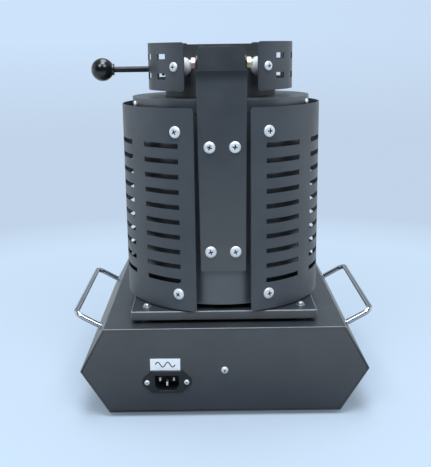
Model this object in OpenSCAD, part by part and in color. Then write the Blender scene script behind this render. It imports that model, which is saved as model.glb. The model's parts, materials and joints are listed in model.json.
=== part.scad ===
// Electric gold melting furnace: a hexagonal control base, a round furnace body behind slotted
// heat shields, and a hinged insulated lid. X runs to the right seen from the front, Y to the
// rear and Z up. The origin lies on the furnace axis, level with the underside of the feet.

/* [Base] */
// Width of the base along its top edges
base_top_w = 242; // [230:1:256]
// Width of the base at its side ridges
base_ridge_w = 292; // [284:1:310]
// Width of the base along its bottom edges
base_bottom_w = 236; // [226:1:250]
// Height of the base casing
base_h = 90; // [86:1:110]
// Height of the side ridges above the casing bottom
ridge_h = 45; // [40:1:50]
// Depth of the base casing
base_depth = 318; // [300:1:340]
// Distance from the furnace axis to the rear end of the base
base_rear = 109; // [106:1:125]
// Sheet thickness of the base casing
sheet_t = 1.5; // [1.2:0.1:2]
// Depth that the end panels sit inside the casing
panel_recess = 0.6; // [0.2:0.1:2]
// Gap round the end panels
panel_gap = 0.2; // [0.1:0.05:0.4]
// Depth of the return lip of the end panels
panel_lip = 10; // [6:1:14]
// Height of the rubber feet
foot_h = 5; // [4:0.5:10]
// Diameter of the rubber feet at the floor
foot_d = 17; // [14:1:22]
// Distance of the feet from the casing's ends
foot_inset = 28; // [20:1:40]
// Spacing of the feet across the base
foot_span = 190; // [160:1:204]

/* [Handles] */
// Diameter of the handle bar
handle_bar_d = 6; // [5:0.5:8]
// Distance between the legs of a handle
handle_span = 175; // [120:1:200]
// Height of the bar's centre line over the sloping panel
handle_rise = 31; // [28:1:40]
// Bend radius of the bar's centre line
handle_bend_r = 9; // [7:0.5:12]
// Diameter of the handle screws
handle_screw_d = 4; // [3:0.5:4]

/* [Power inlet] */
// Distance of the inlet to the side of the furnace axis
inlet_x = 58.5; // [40:0.5:70]
// Height of the inlet screws above the casing bottom
inlet_h = 33.5; // [28:0.5:45]
// Spacing of the inlet screws
inlet_screw_span = 40; // [40:0.5:44]
// Width of the inlet flange
inlet_flange_w = 50; // [49:0.5:54]
// Height of the inlet flange
inlet_flange_h = 23; // [21:0.5:26]
// Thickness of the inlet flange
inlet_flange_t = 2.6; // [2:0.1:4]
// Width of the inlet socket
socket_w = 24; // [23:0.5:25]
// Height of the inlet socket
socket_h = 16; // [15:0.5:17]
// Depth of the inlet socket
socket_depth = 17; // [15:0.5:19]

/* [Controller] */
// Side of the square controller bezel
bezel_w = 72; // [70:1:76]
// Thickness of the controller bezel
bezel_t = 6; // [5:0.5:8]
// Side of the controller case behind the panel
case_w = 67; // [60:1:67]
// Length of the controller case behind the panel
case_l = 80; // [60:1:90]
// Width of a controller button
button_w = 9.6; // [8:0.2:11]
// Height of a controller button
button_h = 5.6; // [5:0.2:7]
// Travel of a controller button
button_travel = 0.8; // [0.5:0.1:1.2]
// Gap round a controller button
button_gap = 0.2; // [0.15:0.05:0.3]

/* [Power switch] */
// Distance of the switch to the side of the furnace axis
switch_x = 85; // [70:1:95]
// Width of the switch frame
switch_w = 25; // [23:0.5:28]
// Height of the switch frame
switch_h = 31; // [29:0.5:34]
// Thickness of the switch frame's flange
switch_flange_t = 2; // [1.5:0.1:2.6]
// Width of the rocker
rocker_w = 16.4; // [12:0.2:17]
// Length of the rocker
rocker_l = 20; // [16:0.5:21]
// Tilt of the rocker to either side
rocker_tilt = 9; // [6:0.5:10]
// Diameter of the rocker's pivot stubs
rocker_pin_d = 2.4; // [2:0.1:3]

/* [Tray] */
// Side of the square tray under the furnace
tray_w = 189; // [180:1:200]
// Height of the tray's turned-down flange
tray_flange_h = 9; // [6:0.5:10]
// Gap between the tray flange and the base
tray_gap = 4; // [3:0.5:8]
// Distance of the tray bolts from the tray's edges
tray_bolt_inset = 15.5; // [12:0.5:20]

/* [Furnace body] */
// Radius of the furnace drum
drum_r = 91; // [88:0.5:94]
// Sheet thickness of the drum and the shields
drum_t = 1.2; // [1:0.1:1.5]
// Gap between the tray and the drum
drum_gap = 5.5; // [4:0.5:8]
// Height of the drum
drum_h = 204; // [196:1:214]
// Radius that the cap's rim adds to the drum
cap_over = 2; // [1.8:0.1:3]
// Depth of the cap's rim
cap_rim_h = 12.5; // [10:0.5:16]
// Radius of the hole in the cap
cap_hole_r = 48; // [46:0.5:50]
// Inner radius of the heating chamber
chamber_r = 38; // [36:0.5:39]
// Wall thickness of the heating muffle
muffle_t = 10; // [8:0.5:11]
// Thickness of the floor insulation
floor_t = 15; // [12:0.5:20]

/* [Heating element] */
// Diameter of the element wire
wire_d = 3.2; // [2.6:0.2:3.6]
// Number of turns of the element
coil_turns = 10; // [6:1:11]
// Pitch of the element's turns
coil_pitch = 12; // [10:0.5:12.5]

/* [Crucible] */
// Height of the crucible
crucible_h = 138; // [110:1:142]
// Radius of the crucible's body at the top
crucible_r = 31; // [28:0.5:32]
// Radius of the crucible's foot
crucible_foot_r = 26; // [22:0.5:28]
// Wall thickness of the crucible
crucible_t = 7; // [5:0.5:9]
// Height of the stand under the crucible
stand_h = 24; // [18:1:28]

/* [Heat shields] */
// Radius of the body shields
shield_r = 104; // [102:0.5:107]
// Height of the body shields
shield_h = 201; // [196:1:204]
// Gap between the tray and the body shields
shield_gap = 1.5; // [1:0.5:4]
// Width of the opening between the body shields
shield_open_w = 54.6; // [52:0.2:58]
// Number of slot rows
slot_rows = 10; // [6:1:10]
// Pitch of the slot rows
slot_pitch = 15; // [13:0.5:15.5]
// Height of a slot
slot_h = 5; // [3:0.2:6]
// Angle that a slot spans
slot_angle = 23.6; // [18:0.2:28]
// Diameter of the ceramic shield spacers
spacer_d = 18.5; // [14:0.5:19]
// Diameter of the large flat screw heads
screw_head_d = 11.5; // [9:0.5:12.5]
// Diameter of the large screws
screw_d = 4; // [3:0.5:5]

/* [Rear bracket] */
// Width of the bracket at its bend
bracket_w = 48; // [46:0.5:50]
// Width of the bracket at its lower end
bracket_low_w = 44.4; // [42:0.2:46]
// Sheet thickness of the bracket
bracket_t = 1.5; // [1.2:0.1:1.8]
// Height of the bracket's lower end above the tray
bracket_low_h = 42; // [30:1:60]
// Length of the leaning leaf above the bend
leaf_l = 22; // [18:0.5:24]
// Width of the leaf
leaf_w = 45; // [42:0.5:46]
// Lean of the leaf towards the lid
leaf_lean = 12; // [8:0.5:13]
// Spacing of the bracket screws across
bracket_screw_span = 24.6; // [20:0.2:26]

/* [Lid] */
// Radius of the lid drum
lid_r = 58; // [56:0.5:59]
// Height of the lid drum
lid_h = 51.7; // [48:0.1:54]
// Gap between the cap and the closed lid
lid_gap = 0.3; // [0.3:0.1:0.6]
// Radius of the lid shields
lid_shield_r = 75.5; // [74:0.5:77]
// Height of the lid shields
lid_shield_h = 47; // [44:0.5:50]
// Height of the lid shields' lower edge over the cap
lid_shield_lift = 7; // [5:0.5:9]
// Width of the opening between the lid shields
lid_open_w = 72.4; // [68:0.2:76]
// Height of a lid vent
vent_h = 6; // [4:0.5:7]
// Angle between the columns of lid vents
vent_step = 23.3; // [22:0.1:26]
// Distance of the hinge pin from the furnace axis
pin_y = 78; // [77:0.5:79]
// Height of the hinge pin over the cap
pin_h = 34.5; // [33:0.5:36]
// Diameter of the hinge pin
pin_d = 6; // [5:0.5:6]
// Radial clearance of the hinge bores
pin_fit = 0.08; // [0.05:0.01:0.1]
// Distance from the furnace axis to the knob's centre
knob_x = 124; // [115:1:135]
// Diameter of the ball knob
knob_d = 24; // [20:1:28]
// Diameter of the knob's rod
rod_d = 6; // [5:0.5:8]

/* [Hidden] */
$fn = 64;

// Clearances that several pieces share
seat_gap = 0.3;
bore_gap = 0.15;
cutout_gap = 0.5;
// A small length that cutters reach past a face
over = 1;

// Colours
slate = [0.28, 0.31, 0.34];
chrome = [0.82, 0.83, 0.85];
zinc = [0.75, 0.77, 0.78];
ceramic = [0.93, 0.92, 0.88];
black = [0.06, 0.06, 0.07];
graphite = [0.16, 0.16, 0.17];

// Heights of the base
base_z0 = foot_h;
base_z1 = foot_h + base_h;
ridge_z = foot_h + ridge_h;
panel_mid_z = foot_h + base_h / 2;
base_front_y = base_rear - base_depth;
base_mid_y = base_rear - base_depth / 2;
rear_face_y = base_rear - panel_recess;
front_face_y = base_front_y + panel_recess;
floor_z = base_z0 + sheet_t;

// Slopes of the base's sides: sideways run per unit of height
slope_up = (base_ridge_w - base_top_w) / 2 / (base_h - ridge_h);
slope_low = (base_ridge_w - base_bottom_w) / 2 / ridge_h;

// Heights of the tray and the furnace
tray_z1 = base_z1 + tray_gap + tray_flange_h;
tray_z0 = tray_z1 - sheet_t;
tray_bolt_x = tray_w / 2 - tray_bolt_inset;
drum_z0 = tray_z1 + drum_gap;
cap_z1 = drum_z0 + drum_h;
cap_z0 = cap_z1 - sheet_t;
cap_r = drum_r + cap_over;
drum_in_r = drum_r - drum_t;
drum_bolt_pos = 42;
bush_d = 10;
lead_d = 4;
lead_gap = 0.3;

// Insulation, muffle and element
insulation_r = drum_in_r - 0.5;
floor_z0 = drum_z0 + drum_t + bore_gap;
chamber_z0 = floor_z0 + floor_t;
muffle_r = chamber_r + muffle_t;
coil_r = muffle_r + 0.4 + wire_d / 2;
insulation_in_r = coil_r + wire_d / 2 + 1;
collar_r = muffle_r + 14;
collar_h = 18;
collar_z0 = cap_z0 - collar_h;
muffle_z1 = collar_z0 - seat_gap;
coil_z0 = chamber_z0 + 12;
coil_z1 = coil_z0 + coil_turns * coil_pitch;
lead_out_r = coil_r + 12;
probe_r = lead_out_r;
probe_d = 6;
probe_h = 100;

// Crucible
crucible_z0 = chamber_z0 + stand_h + seat_gap;
crucible_z1 = crucible_z0 + crucible_h;
crucible_rim_r = crucible_r + 3;
crucible_rim_h = 12;

// Shields
shield_z0 = tray_z1 + shield_gap;
shield_z1 = shield_z0 + shield_h;
shield_in_r = shield_r - drum_t;
shield_edge = asin(shield_open_w / 2 / shield_r);
slot_columns = 4;
slot_step = 36;
slot_z0 = shield_z0 + 30;
shield_screw_angle = 25.6;
shield_screw_z = [shield_z0 + 16.5, shield_z1 - 22.5];
spacer_chamfer = 1.6;

// Rear bracket
bracket_in_y = cap_r + seat_gap;
bracket_out_y = bracket_in_y + bracket_t;
bracket_z0 = tray_z1 + bracket_low_h;
bend_z = cap_z1 + 28;
bracket_lip_y = sqrt(pow(drum_r, 2) - pow(bracket_low_w / 2 - bracket_t, 2)) + seat_gap;
bracket_screw_z = [bracket_z0 + 19.5, bend_z - 72.5];
bracket_screw_end_y = sqrt(pow(insulation_r, 2) - pow(bracket_screw_span / 2 - screw_d / 2, 2)) + seat_gap;
ear_x = bracket_w / 2;
ear_r = 7;
pin_z = cap_z1 + pin_h;

// Lid
lid_z0 = cap_z1 + lid_gap;
lid_z1 = lid_z0 + lid_h;
lid_shield_z0 = cap_z1 + lid_shield_lift;
lid_shield_z1 = lid_shield_z0 + lid_shield_h;
lid_shield_in_r = lid_shield_r - drum_t;
lid_edge = asin(lid_open_w / 2 / lid_shield_r);
lid_mid_z = (lid_shield_z0 + lid_shield_z1) / 2;
lid_screw_angle = 37.7;
vent_angle = 10.8;
vent_first = 52.2;
vent_rows = [-9.5, 9.5];
plug_r = chamber_r - 3;
plug_drop = 4;
arm_lug_x = 19;
arm_lug_t = 1.8;
arm_r = 5.5;
hinge_nut_t = 4.8;

// Half outline of the casing at an inset from its outer faces, as [x, z] points on the right side
function casing_half(inset) =
    let (run_up = inset * sqrt(1 + pow(slope_up, 2)),
         run_low = inset * sqrt(1 + pow(slope_low, 2)),
         z_top = base_z1 - inset,
         z_low = base_z0 + inset,
         x_top = base_top_w / 2 + slope_up * inset - run_up,
         x_low = base_bottom_w / 2 + slope_low * inset - run_low,
         z_mid = (base_top_w / 2 - base_bottom_w / 2 + slope_up * base_z1 + slope_low * base_z0
                  - run_up + run_low) / (slope_up + slope_low),
         x_mid = base_top_w / 2 + slope_up * (base_z1 - z_mid) - run_up)
    [[x_low, z_low], [x_mid, z_mid], [x_top, z_top]];

// Solid of the casing's outline at an inset, from y0 to y1
module casing_block(inset, y0, y1) {
    right = casing_half(inset);
    left = [for (i = [len(right) - 1 : -1 : 0]) [-right[i][0], right[i][1]]];
    translate([0, y1, 0])
        rotate([90, 0, 0])
            linear_extrude(y1 - y0)
                polygon(concat(right, left));
}

// Places its children at an angle from the rear, at a radius and a height, with Z pointing outwards
module polar(angle, radius, z) {
    rotate([0, 0, -angle])
        translate([0, radius, z])
            rotate([-90, 0, 0])
                children();
}

// Places its children at the four corners of a square
module corners(half) {
    for (sx = [-1, 1])
        for (sy = [-1, 1])
            translate([sx * half, sy * half, 0])
                children();
}

// Ring with square edges
module ring(r_out, r_in, z0, z1) {
    difference() {
        translate([0, 0, z0])
            cylinder(r = r_out, h = z1 - z0, $fn = 128);
        translate([0, 0, z0 - over])
            cylinder(r = r_in, h = z1 - z0 + 2 * over, $fn = 128);
    }
}

// Screw along Z with a low rounded head above zero, a cross recess and a plain shank below
module flat_screw(head_d, head_h, shank_d, shank_l) {
    crown_r = (pow(head_d / 2, 2) + pow(head_h, 2)) / (2 * head_h);
    recess_w = head_d * 0.1;
    recess_l = head_d * 0.46;
    difference() {
        union() {
            intersection() {
                translate([0, 0, head_h - crown_r])
                    sphere(r = crown_r);
                cylinder(d = head_d * 1.1, h = head_h * 1.1);
            }
            translate([0, 0, -shank_l])
                cylinder(d = shank_d, h = shank_l + head_h / 2);
        }
        for (turn = [0, 90])
            rotate([0, 0, turn])
                translate([-recess_l / 2, -recess_w / 2, head_h * 0.45])
                    cube([recess_l, recess_w, head_h]);
    }
}

// Hexagon nut along Z with a clear bore
module hex_nut(across, t, bore_d) {
    difference() {
        cylinder(d = across / cos(30), h = t, $fn = 6);
        translate([0, 0, -over])
            cylinder(d = bore_d, h = t + 2 * over);
    }
}

// Ceramic spacer along Z with chamfered edges and a clear bore
module ceramic_spacer(length) {
    edge_r = spacer_d / 2 - spacer_chamfer;
    bore_r = screw_d / 2 + bore_gap;
    rotate_extrude()
        polygon([
            [bore_r, 0], [edge_r, 0], [spacer_d / 2, spacer_chamfer],
            [spacer_d / 2, length - spacer_chamfer], [edge_r, length], [bore_r, length]
        ]);
}

// Wedge of a ring that spans some degrees either side of an angle from the rear
module ring_wedge(r_in, r_out, z0, z1, angle, span) {
    rotate([0, 0, 90 - angle - span / 2])
        rotate_extrude(angle = span, $fn = 128)
            translate([r_in, z0])
                square([r_out - r_in, z1 - z0]);
}

// What a rounded corner of a radius leaves over, cut outwards through a sheet
module corner_waste(r, depth) {
    difference() {
        cube([2 * r, 2 * r, depth], center = true);
        translate([r, r, 0])
            cylinder(r = r, h = depth + over, center = true);
    }
}

// Half shell of a shield: a ring from its edge angle to the same angle at the front
module half_shell(r, z0, z1, edge, corner_top, corner_low) {
    depth = 8;
    difference() {
        ring_wedge(r - drum_t, r, z0, z1, 90, 180 - 2 * edge);
        for (end = [0, 1])
            mirror([0, end, 0]) {
                polar(edge, r, z1)
                    corner_waste(corner_top, depth);
                polar(edge, r, z0)
                    mirror([0, 1, 0])
                        corner_waste(corner_low, depth);
            }
    }
}

module base_shell() {
    vent_w = 5;
    vent_l = 60;
    vent_count = 9;
    vent_spacing = 14;
    color(slate)
        difference() {
            casing_block(0, base_front_y, base_rear);
            casing_block(sheet_t, base_front_y - over, base_rear + over);
            for (i = [0 : vent_count - 1])
                translate([(i - (vent_count - 1) / 2) * vent_spacing - vent_w / 2,
                           base_mid_y - vent_l / 2, base_z0 - over])
                    cube([vent_w, vent_l, sheet_t + 2 * over]);
            feet_places()
                translate([0, 0, base_z0 - over])
                    cylinder(r = foot_stem_r + bore_gap, h = sheet_t + 2 * over);
            corners(tray_bolt_x)
                translate([0, 0, base_z1 - sheet_t - over])
                    cylinder(d = screw_d + 2 * bore_gap, h = sheet_t + 2 * over);
            riser_holes(base_z1 - sheet_t - over, base_z1 + over);
            for (side = [-1, 1])
                handle_place(side)
                    for (end = [-1, 1])
                        translate([0, end * handle_span / 2, -sheet_t - over])
                            cylinder(d = handle_screw_d + 2 * bore_gap, h = sheet_t + 2 * over);
        }
}

// Holes that the element leads and the temperature probe pass through
module riser_holes(z0, z1) {
    for (place = riser_places)
        rotate([0, 0, -place[0]])
            translate([0, place[1], z0])
                cylinder(r = place[2] + bore_gap, h = z1 - z0);
}
riser_places = [[0, coil_r, bush_d / 2], [-24, lead_out_r, bush_d / 2], [180, probe_r, probe_d / 2]];

foot_stem_r = 3;
module feet_places() {
    for (sx = [-1, 1])
        for (y = [base_front_y + foot_inset, base_rear - foot_inset])
            translate([sx * foot_span / 2, y, 0])
                children();
}

module feet() {
    top_r = foot_d / 2 + 2;
    head_r = foot_stem_r + 1.2;
    head_z = floor_z + bore_gap;
    head_h = 1.6;
    dimple_r = 4;
    dimple_h = 1.2;
    color(black)
        feet_places()
            rotate_extrude()
                polygon([
                    [0, dimple_h], [dimple_r, dimple_h], [dimple_r, 0], [foot_d / 2, 0], [top_r, foot_h],
                    [foot_stem_r, foot_h], [foot_stem_r, head_z], [head_r, head_z],
                    [foot_stem_r, head_z + head_h], [0, head_z + head_h]
                ]);
}

// An end panel: a flat face with a return lip that sits inside the casing
module end_panel(y_face, inward) {
    inset = sheet_t + panel_gap;
    lip_t = 1.2;
    y_back = y_face + inward * sheet_t;
    y_lip = y_face + inward * panel_lip;
    difference() {
        casing_block(inset, min(y_face, y_lip), max(y_face, y_lip));
        casing_block(inset + lip_t, min(y_back, y_lip + inward * over), max(y_back, y_lip + inward * over));
    }
}

module front_panel() {
    color(slate)
        difference() {
            end_panel(front_face_y, 1);
            translate([0, front_face_y, panel_mid_z])
                cube([case_w + 2 * cutout_gap, 4 * sheet_t, case_w + 2 * cutout_gap], center = true);
            translate([switch_x, front_face_y, panel_mid_z])
                cube([switch_body_w + cutout_gap, 4 * sheet_t, switch_body_h + cutout_gap], center = true);
        }
}

inlet_z = base_z0 + inlet_h;
inlet_screw_d = 3;
panel_screw_d = 4;
inlet_body_w = 27;
inlet_body_h = 20;
inlet_body_l = 22;
module rear_panel() {
    hole_l = 4 * sheet_t;
    color(slate)
        difference() {
            end_panel(rear_face_y, -1);
            translate([inlet_x, rear_face_y, inlet_z])
                cube([inlet_body_w + cutout_gap, hole_l, inlet_body_h + cutout_gap], center = true);
            for (sx = [-1, 1])
                translate([inlet_x + sx * inlet_screw_span / 2, rear_face_y, inlet_z])
                    rotate([90, 0, 0])
                        cylinder(d = inlet_screw_d + 2 * bore_gap, h = hole_l, center = true);
            translate([0, rear_face_y, panel_mid_z])
                rotate([90, 0, 0])
                    cylinder(d = panel_screw_d + 2 * bore_gap, h = hole_l, center = true);
            translate([-strut_w / 2 - 1, rear_face_y - panel_lip - over, base_z0])
                cube([strut_w + 2, panel_lip + over - sheet_t, 6]);
        }
}

// Folded strut behind the rear panel that takes its centre screw
strut_w = 24;
module panel_bracket() {
    foot_l = 30;
    strut_t = 2;
    y1 = rear_face_y - sheet_t - bore_gap;
    color(zinc)
        difference() {
            union() {
                translate([-strut_w / 2, y1 - strut_t, floor_z])
                    cube([strut_w, strut_t, panel_mid_z - floor_z + 10]);
                translate([-strut_w / 2, y1 - foot_l, floor_z])
                    cube([strut_w, foot_l, strut_t]);
            }
            translate([0, y1, panel_mid_z])
                rotate([90, 0, 0])
                    cylinder(d = panel_screw_d + 2 * bore_gap, h = 6 * strut_t, center = true);
        }
}

module rear_panel_screw() {
    head_d = 7.2;
    head_h = 2.6;
    shank_l = 9;
    color(chrome)
        translate([0, rear_face_y, panel_mid_z])
            rotate([-90, 0, 0])
                flat_screw(head_d, head_h, panel_screw_d, shank_l);
}

// Frame of a handle on a side: Z points out of the upper sloping face at its middle
module handle_place(side) {
    tilt = atan2(1, slope_up);
    mid_z = (base_z1 + ridge_z) / 2;
    mid_x = (base_top_w + base_ridge_w) / 4;
    mirror([side < 0 ? 1 : 0, 0, 0])
        translate([mid_x, base_mid_y, mid_z])
            rotate([0, tilt, 0])
                children();
}

module u_bar() {
    leg = handle_rise - handle_bend_r;
    thread_l = 12;
    half = handle_span / 2;
    difference() {
        union() {
            for (end = [0, 1])
                mirror([0, end, 0]) {
                    translate([0, half, 0])
                        cylinder(d = handle_bar_d, h = leg);
                    translate([0, half - handle_bend_r, leg])
                        rotate([90, 0, 90])
                            rotate_extrude(angle = 90)
                                translate([handle_bend_r, 0])
                                    circle(d = handle_bar_d, $fn = 32);
                }
            translate([0, 0, handle_rise])
                rotate([90, 0, 0])
                    cylinder(d = handle_bar_d, h = handle_span - 2 * handle_bend_r, center = true);
        }
        for (end = [-1, 1])
            translate([0, end * half, -over])
                cylinder(d = handle_screw_d + 2 * bore_gap, h = thread_l + over);
    }
}

module handle_left() {
    color(chrome)
        handle_place(-1)
            u_bar();
}

module handle_right() {
    color(chrome)
        handle_place(1)
            u_bar();
}

module handle_screws() {
    head_d = 8;
    head_h = 2.6;
    shank_l = 10;
    color(zinc)
        for (side = [-1, 1])
            handle_place(side)
                for (end = [-1, 1])
                    translate([0, end * handle_span / 2, -sheet_t])
                        rotate([180, 0, 0])
                            flat_screw(head_d, head_h, handle_screw_d, shank_l);
}

socket_drop = 1;
module power_inlet() {
    end_r = (inlet_flange_w - inlet_screw_span) / 2;
    mid_w = 30;
    bevel = 4.5;
    wall_y = rear_face_y + inlet_flange_t;
    color(black)
        translate([inlet_x, wall_y, inlet_z])
            rotate([90, 0, 0])
                difference() {
                    union() {
                        linear_extrude(inlet_flange_t)
                            union() {
                                polygon([
                                    [-mid_w / 2, -inlet_flange_h / 2], [mid_w / 2, -inlet_flange_h / 2],
                                    [inlet_screw_span / 2 + end_r * 0.8, -end_r * 0.6],
                                    [inlet_screw_span / 2 + end_r * 0.8, end_r * 0.6],
                                    [mid_w / 2, inlet_flange_h / 2], [-mid_w / 2, inlet_flange_h / 2],
                                    [-inlet_screw_span / 2 - end_r * 0.8, end_r * 0.6],
                                    [-inlet_screw_span / 2 - end_r * 0.8, -end_r * 0.6]
                                ]);
                                for (sx = [-1, 1])
                                    translate([sx * inlet_screw_span / 2, 0])
                                        circle(r = end_r);
                            }
                        translate([-inlet_body_w / 2, -inlet_body_h / 2, 0])
                            cube([inlet_body_w, inlet_body_h, inlet_body_l]);
                    }
                    translate([0, -socket_drop, -over])
                        linear_extrude(socket_depth + over)
                            polygon([
                                [-socket_w / 2 + bevel, -socket_h / 2], [socket_w / 2 - bevel, -socket_h / 2],
                                [socket_w / 2, -socket_h / 2 + bevel], [socket_w / 2, socket_h / 2],
                                [-socket_w / 2, socket_h / 2], [-socket_w / 2, -socket_h / 2 + bevel]
                            ]);
                    for (sx = [-1, 1])
                        translate([sx * inlet_screw_span / 2, 0, -over])
                            cylinder(d = inlet_screw_d + 2 * bore_gap, h = inlet_flange_t + 2 * over);
                    inlet_pin_shapes(bore_gap);
                }
}

// The three contact blades, in the inlet's own frame with Z into the socket
module inlet_pin_shapes(gap) {
    blade_w = 2;
    blade_h = 4;
    pin_start = 3;
    pin_end = inlet_body_l + 8;
    for (place = [[-7, 3], [7, 3], [0, -2.2]])
        translate([place[0], place[1] - socket_drop, (pin_start + pin_end) / 2])
            cube([blade_w + 2 * gap, blade_h + 2 * gap, pin_end - pin_start], center = true);
}

module inlet_pins() {
    color(zinc)
        translate([inlet_x, rear_face_y + inlet_flange_t, inlet_z])
            rotate([90, 0, 0])
                inlet_pin_shapes(0);
}

module inlet_screws() {
    head_d = 5.2;
    head_h = 1.8;
    shank_l = 9;
    color(chrome)
        for (sx = [-1, 1])
            translate([inlet_x + sx * inlet_screw_span / 2, rear_face_y + inlet_flange_t, inlet_z])
                rotate([-90, 0, 0])
                    flat_screw(head_d, head_h, inlet_screw_d, shank_l);
}

button_in = 4;
button_out = 1.2;
button_row_z = panel_mid_z - 22;
button_spacing = 14.5;
function button_x(i) = (i - 1.5) * button_spacing;

window_w = 60;
window_h = 36;
window_t = 1.6;
window_z = panel_mid_z + 11;
module temperature_controller() {
    pocket_h = button_in + button_travel + seat_gap;
    bezel_y = front_face_y - bezel_t;
    clip_w = 12;
    color(black)
        difference() {
            union() {
                translate([-bezel_w / 2, bezel_y, panel_mid_z - bezel_w / 2])
                    cube([bezel_w, bezel_t, bezel_w]);
                translate([-case_w / 2, front_face_y, panel_mid_z - case_w / 2])
                    cube([case_w, case_l, case_w]);
                for (side = [-1, 1])
                    translate([-clip_w / 2, front_face_y + sheet_t + seat_gap,
                               panel_mid_z + side * (case_w / 2 + 1) - 1])
                        cube([clip_w, 24, 2]);
            }
            bezel_chamfer(bezel_y);
            translate([-window_w / 2 - bore_gap, bezel_y - over, window_z - window_h / 2 - bore_gap])
                cube([window_w + 2 * bore_gap, window_t + 0.6 + over, window_h + 2 * bore_gap]);
            for (i = [0 : 3])
                translate([button_x(i) - button_w / 2 - button_gap, bezel_y - over,
                           button_row_z - button_h / 2 - button_gap])
                    cube([button_w + 2 * button_gap, pocket_h + over, button_h + 2 * button_gap]);
        }
}

// Sloping edges of the bezel's front
module bezel_chamfer(y) {
    c = 1.6;
    for (turn = [0, 90, 180, 270])
        translate([0, y, panel_mid_z])
            rotate([0, turn, 0])
                translate([0, 0, bezel_w / 2])
                    rotate([45, 0, 0])
                        cube([2 * bezel_w, c, 2 * c], center = true);
}

module controller_window() {
    color([0.08, 0.03, 0.03])
        translate([-window_w / 2, front_face_y - bezel_t + 0.6, window_z - window_h / 2])
            cube([window_w, window_t, window_h]);
}

module button(i) {
    color([0.55, 0.56, 0.57])
        translate([button_x(i) - button_w / 2, front_face_y - bezel_t - button_out,
                   button_row_z - button_h / 2])
            cube([button_w, button_in + button_out, button_h]);
}

module set_button() {
    button(0);
}

module shift_button() {
    button(1);
}

module down_button() {
    button(2);
}

module up_button() {
    button(3);
}

switch_body_w = switch_w - 3.5;
switch_body_h = switch_h - 4;
rocker_gap = 0.3;
rocker_pivot_in = 3;
rocker_pin_l = 1;
module switch_frame() {
    body_l = 22;
    pocket_w = rocker_w + 2 * rocker_gap;
    pocket_h = rocker_l + 2.6;
    pocket_l = 14;
    color(black)
        translate([switch_x, front_face_y, panel_mid_z])
            difference() {
                union() {
                    translate([-switch_w / 2, -switch_flange_t, -switch_h / 2])
                        cube([switch_w, switch_flange_t, switch_h]);
                    translate([-switch_body_w / 2, 0, -switch_body_h / 2])
                        cube([switch_body_w, body_l, switch_body_h]);
                }
                translate([-pocket_w / 2, -switch_flange_t - over, -pocket_h / 2])
                    cube([pocket_w, pocket_l + switch_flange_t + over, pocket_h]);
                translate([0, rocker_pivot_in, 0])
                    rotate([0, 90, 0])
                        cylinder(d = rocker_pin_d + 2 * pin_fit,
                                 h = pocket_w + 2 * rocker_pin_l + 2 * rocker_gap, center = true);
            }
}

// Rocker with a shallow valley across its face, drawn tilted to its off side
module switch_rocker() {
    half = rocker_l / 2;
    crest = switch_flange_t + 1.4;
    valley = switch_flange_t + 0.3;
    skirt = rocker_pivot_in - 1;
    hub_r = rocker_pin_d / 2 + 1.4;
    color([0.75, 0.08, 0.06])
        translate([switch_x, front_face_y + rocker_pivot_in, panel_mid_z])
            rotate([rocker_tilt, 0, 0])
                union() {
                    translate([-rocker_w / 2, -rocker_pivot_in, 0])
                        rotate([90, 0, 90])
                            linear_extrude(rocker_w)
                                polygon([
                                    [-crest, -half], [-valley, 0], [-crest, half],
                                    [skirt, half - 0.4], [skirt, half - 4], [rocker_pivot_in + hub_r, 2],
                                    [rocker_pivot_in + hub_r, -2], [skirt, -half + 4], [skirt, -half + 0.4]
                                ]);
                    rotate([0, 90, 0])
                        cylinder(d = rocker_pin_d, h = rocker_w + 2 * rocker_pin_l, center = true);
                }
}

sink_x = -62;
sink_y = -30;
sink_w = 70;
sink_l = 90;
fin_h = 22;
sink_plate_t = 5;
module relay_heat_sink() {
    fins = 9;
    fin_t = 1.8;
    fin_pitch = (sink_w - fin_t) / (fins - 1);
    color([0.78, 0.79, 0.8])
        translate([sink_x - sink_w / 2, sink_y - sink_l / 2, floor_z]) {
            translate([0, 0, fin_h])
                cube([sink_w, sink_l, sink_plate_t]);
            for (i = [0 : fins - 1])
                translate([i * fin_pitch, 0, 0])
                    cube([fin_t, sink_l, fin_h + over]);
        }
}

module solid_state_relay() {
    relay_w = 45;
    relay_l = 58;
    relay_h = 27;
    notch_r = 2.3;
    contact_x = 15;
    contact_y = 22;
    contact_w = 12;
    contact_l = 10;
    contact_depth = 8;
    z0 = floor_z + fin_h + sink_plate_t;
    color([0.9, 0.9, 0.88])
        translate([sink_x, sink_y, z0])
            difference() {
                translate([-relay_w / 2, -relay_l / 2, 0])
                    cube([relay_w, relay_l, relay_h]);
                for (end = [-1, 1])
                    translate([0, end * relay_l / 2, -over])
                        cylinder(r = notch_r, h = relay_h + 2 * over);
                for (sx = [-1, 1])
                    for (sy = [-1, 1])
                        translate([sx * contact_x - contact_w / 2, sy * contact_y - contact_l / 2,
                                   relay_h - contact_depth])
                            cube([contact_w, contact_l, contact_depth + over]);
            }
}

module terminal_block() {
    poles = 3;
    pole_w = 16;
    block_l = 26;
    block_h = 20;
    entry_r = 2.6;
    screw_r = 2.2;
    block_x = 55;
    block_y = 10;
    color(ceramic)
        translate([block_x, block_y, floor_z])
            difference() {
                translate([-poles * pole_w / 2, -block_l / 2, 0])
                    cube([poles * pole_w, block_l, block_h]);
                for (i = [0 : poles - 1])
                    translate([(i - (poles - 1) / 2) * pole_w, 0, 0]) {
                        translate([0, 0, block_h / 2])
                            rotate([90, 0, 0])
                                cylinder(r = entry_r, h = block_l + 2 * over, center = true);
                        for (end = [-1, 1])
                            translate([0, end * block_l / 4, block_h / 2])
                                cylinder(r = screw_r, h = block_h);
                    }
            }
}

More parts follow.
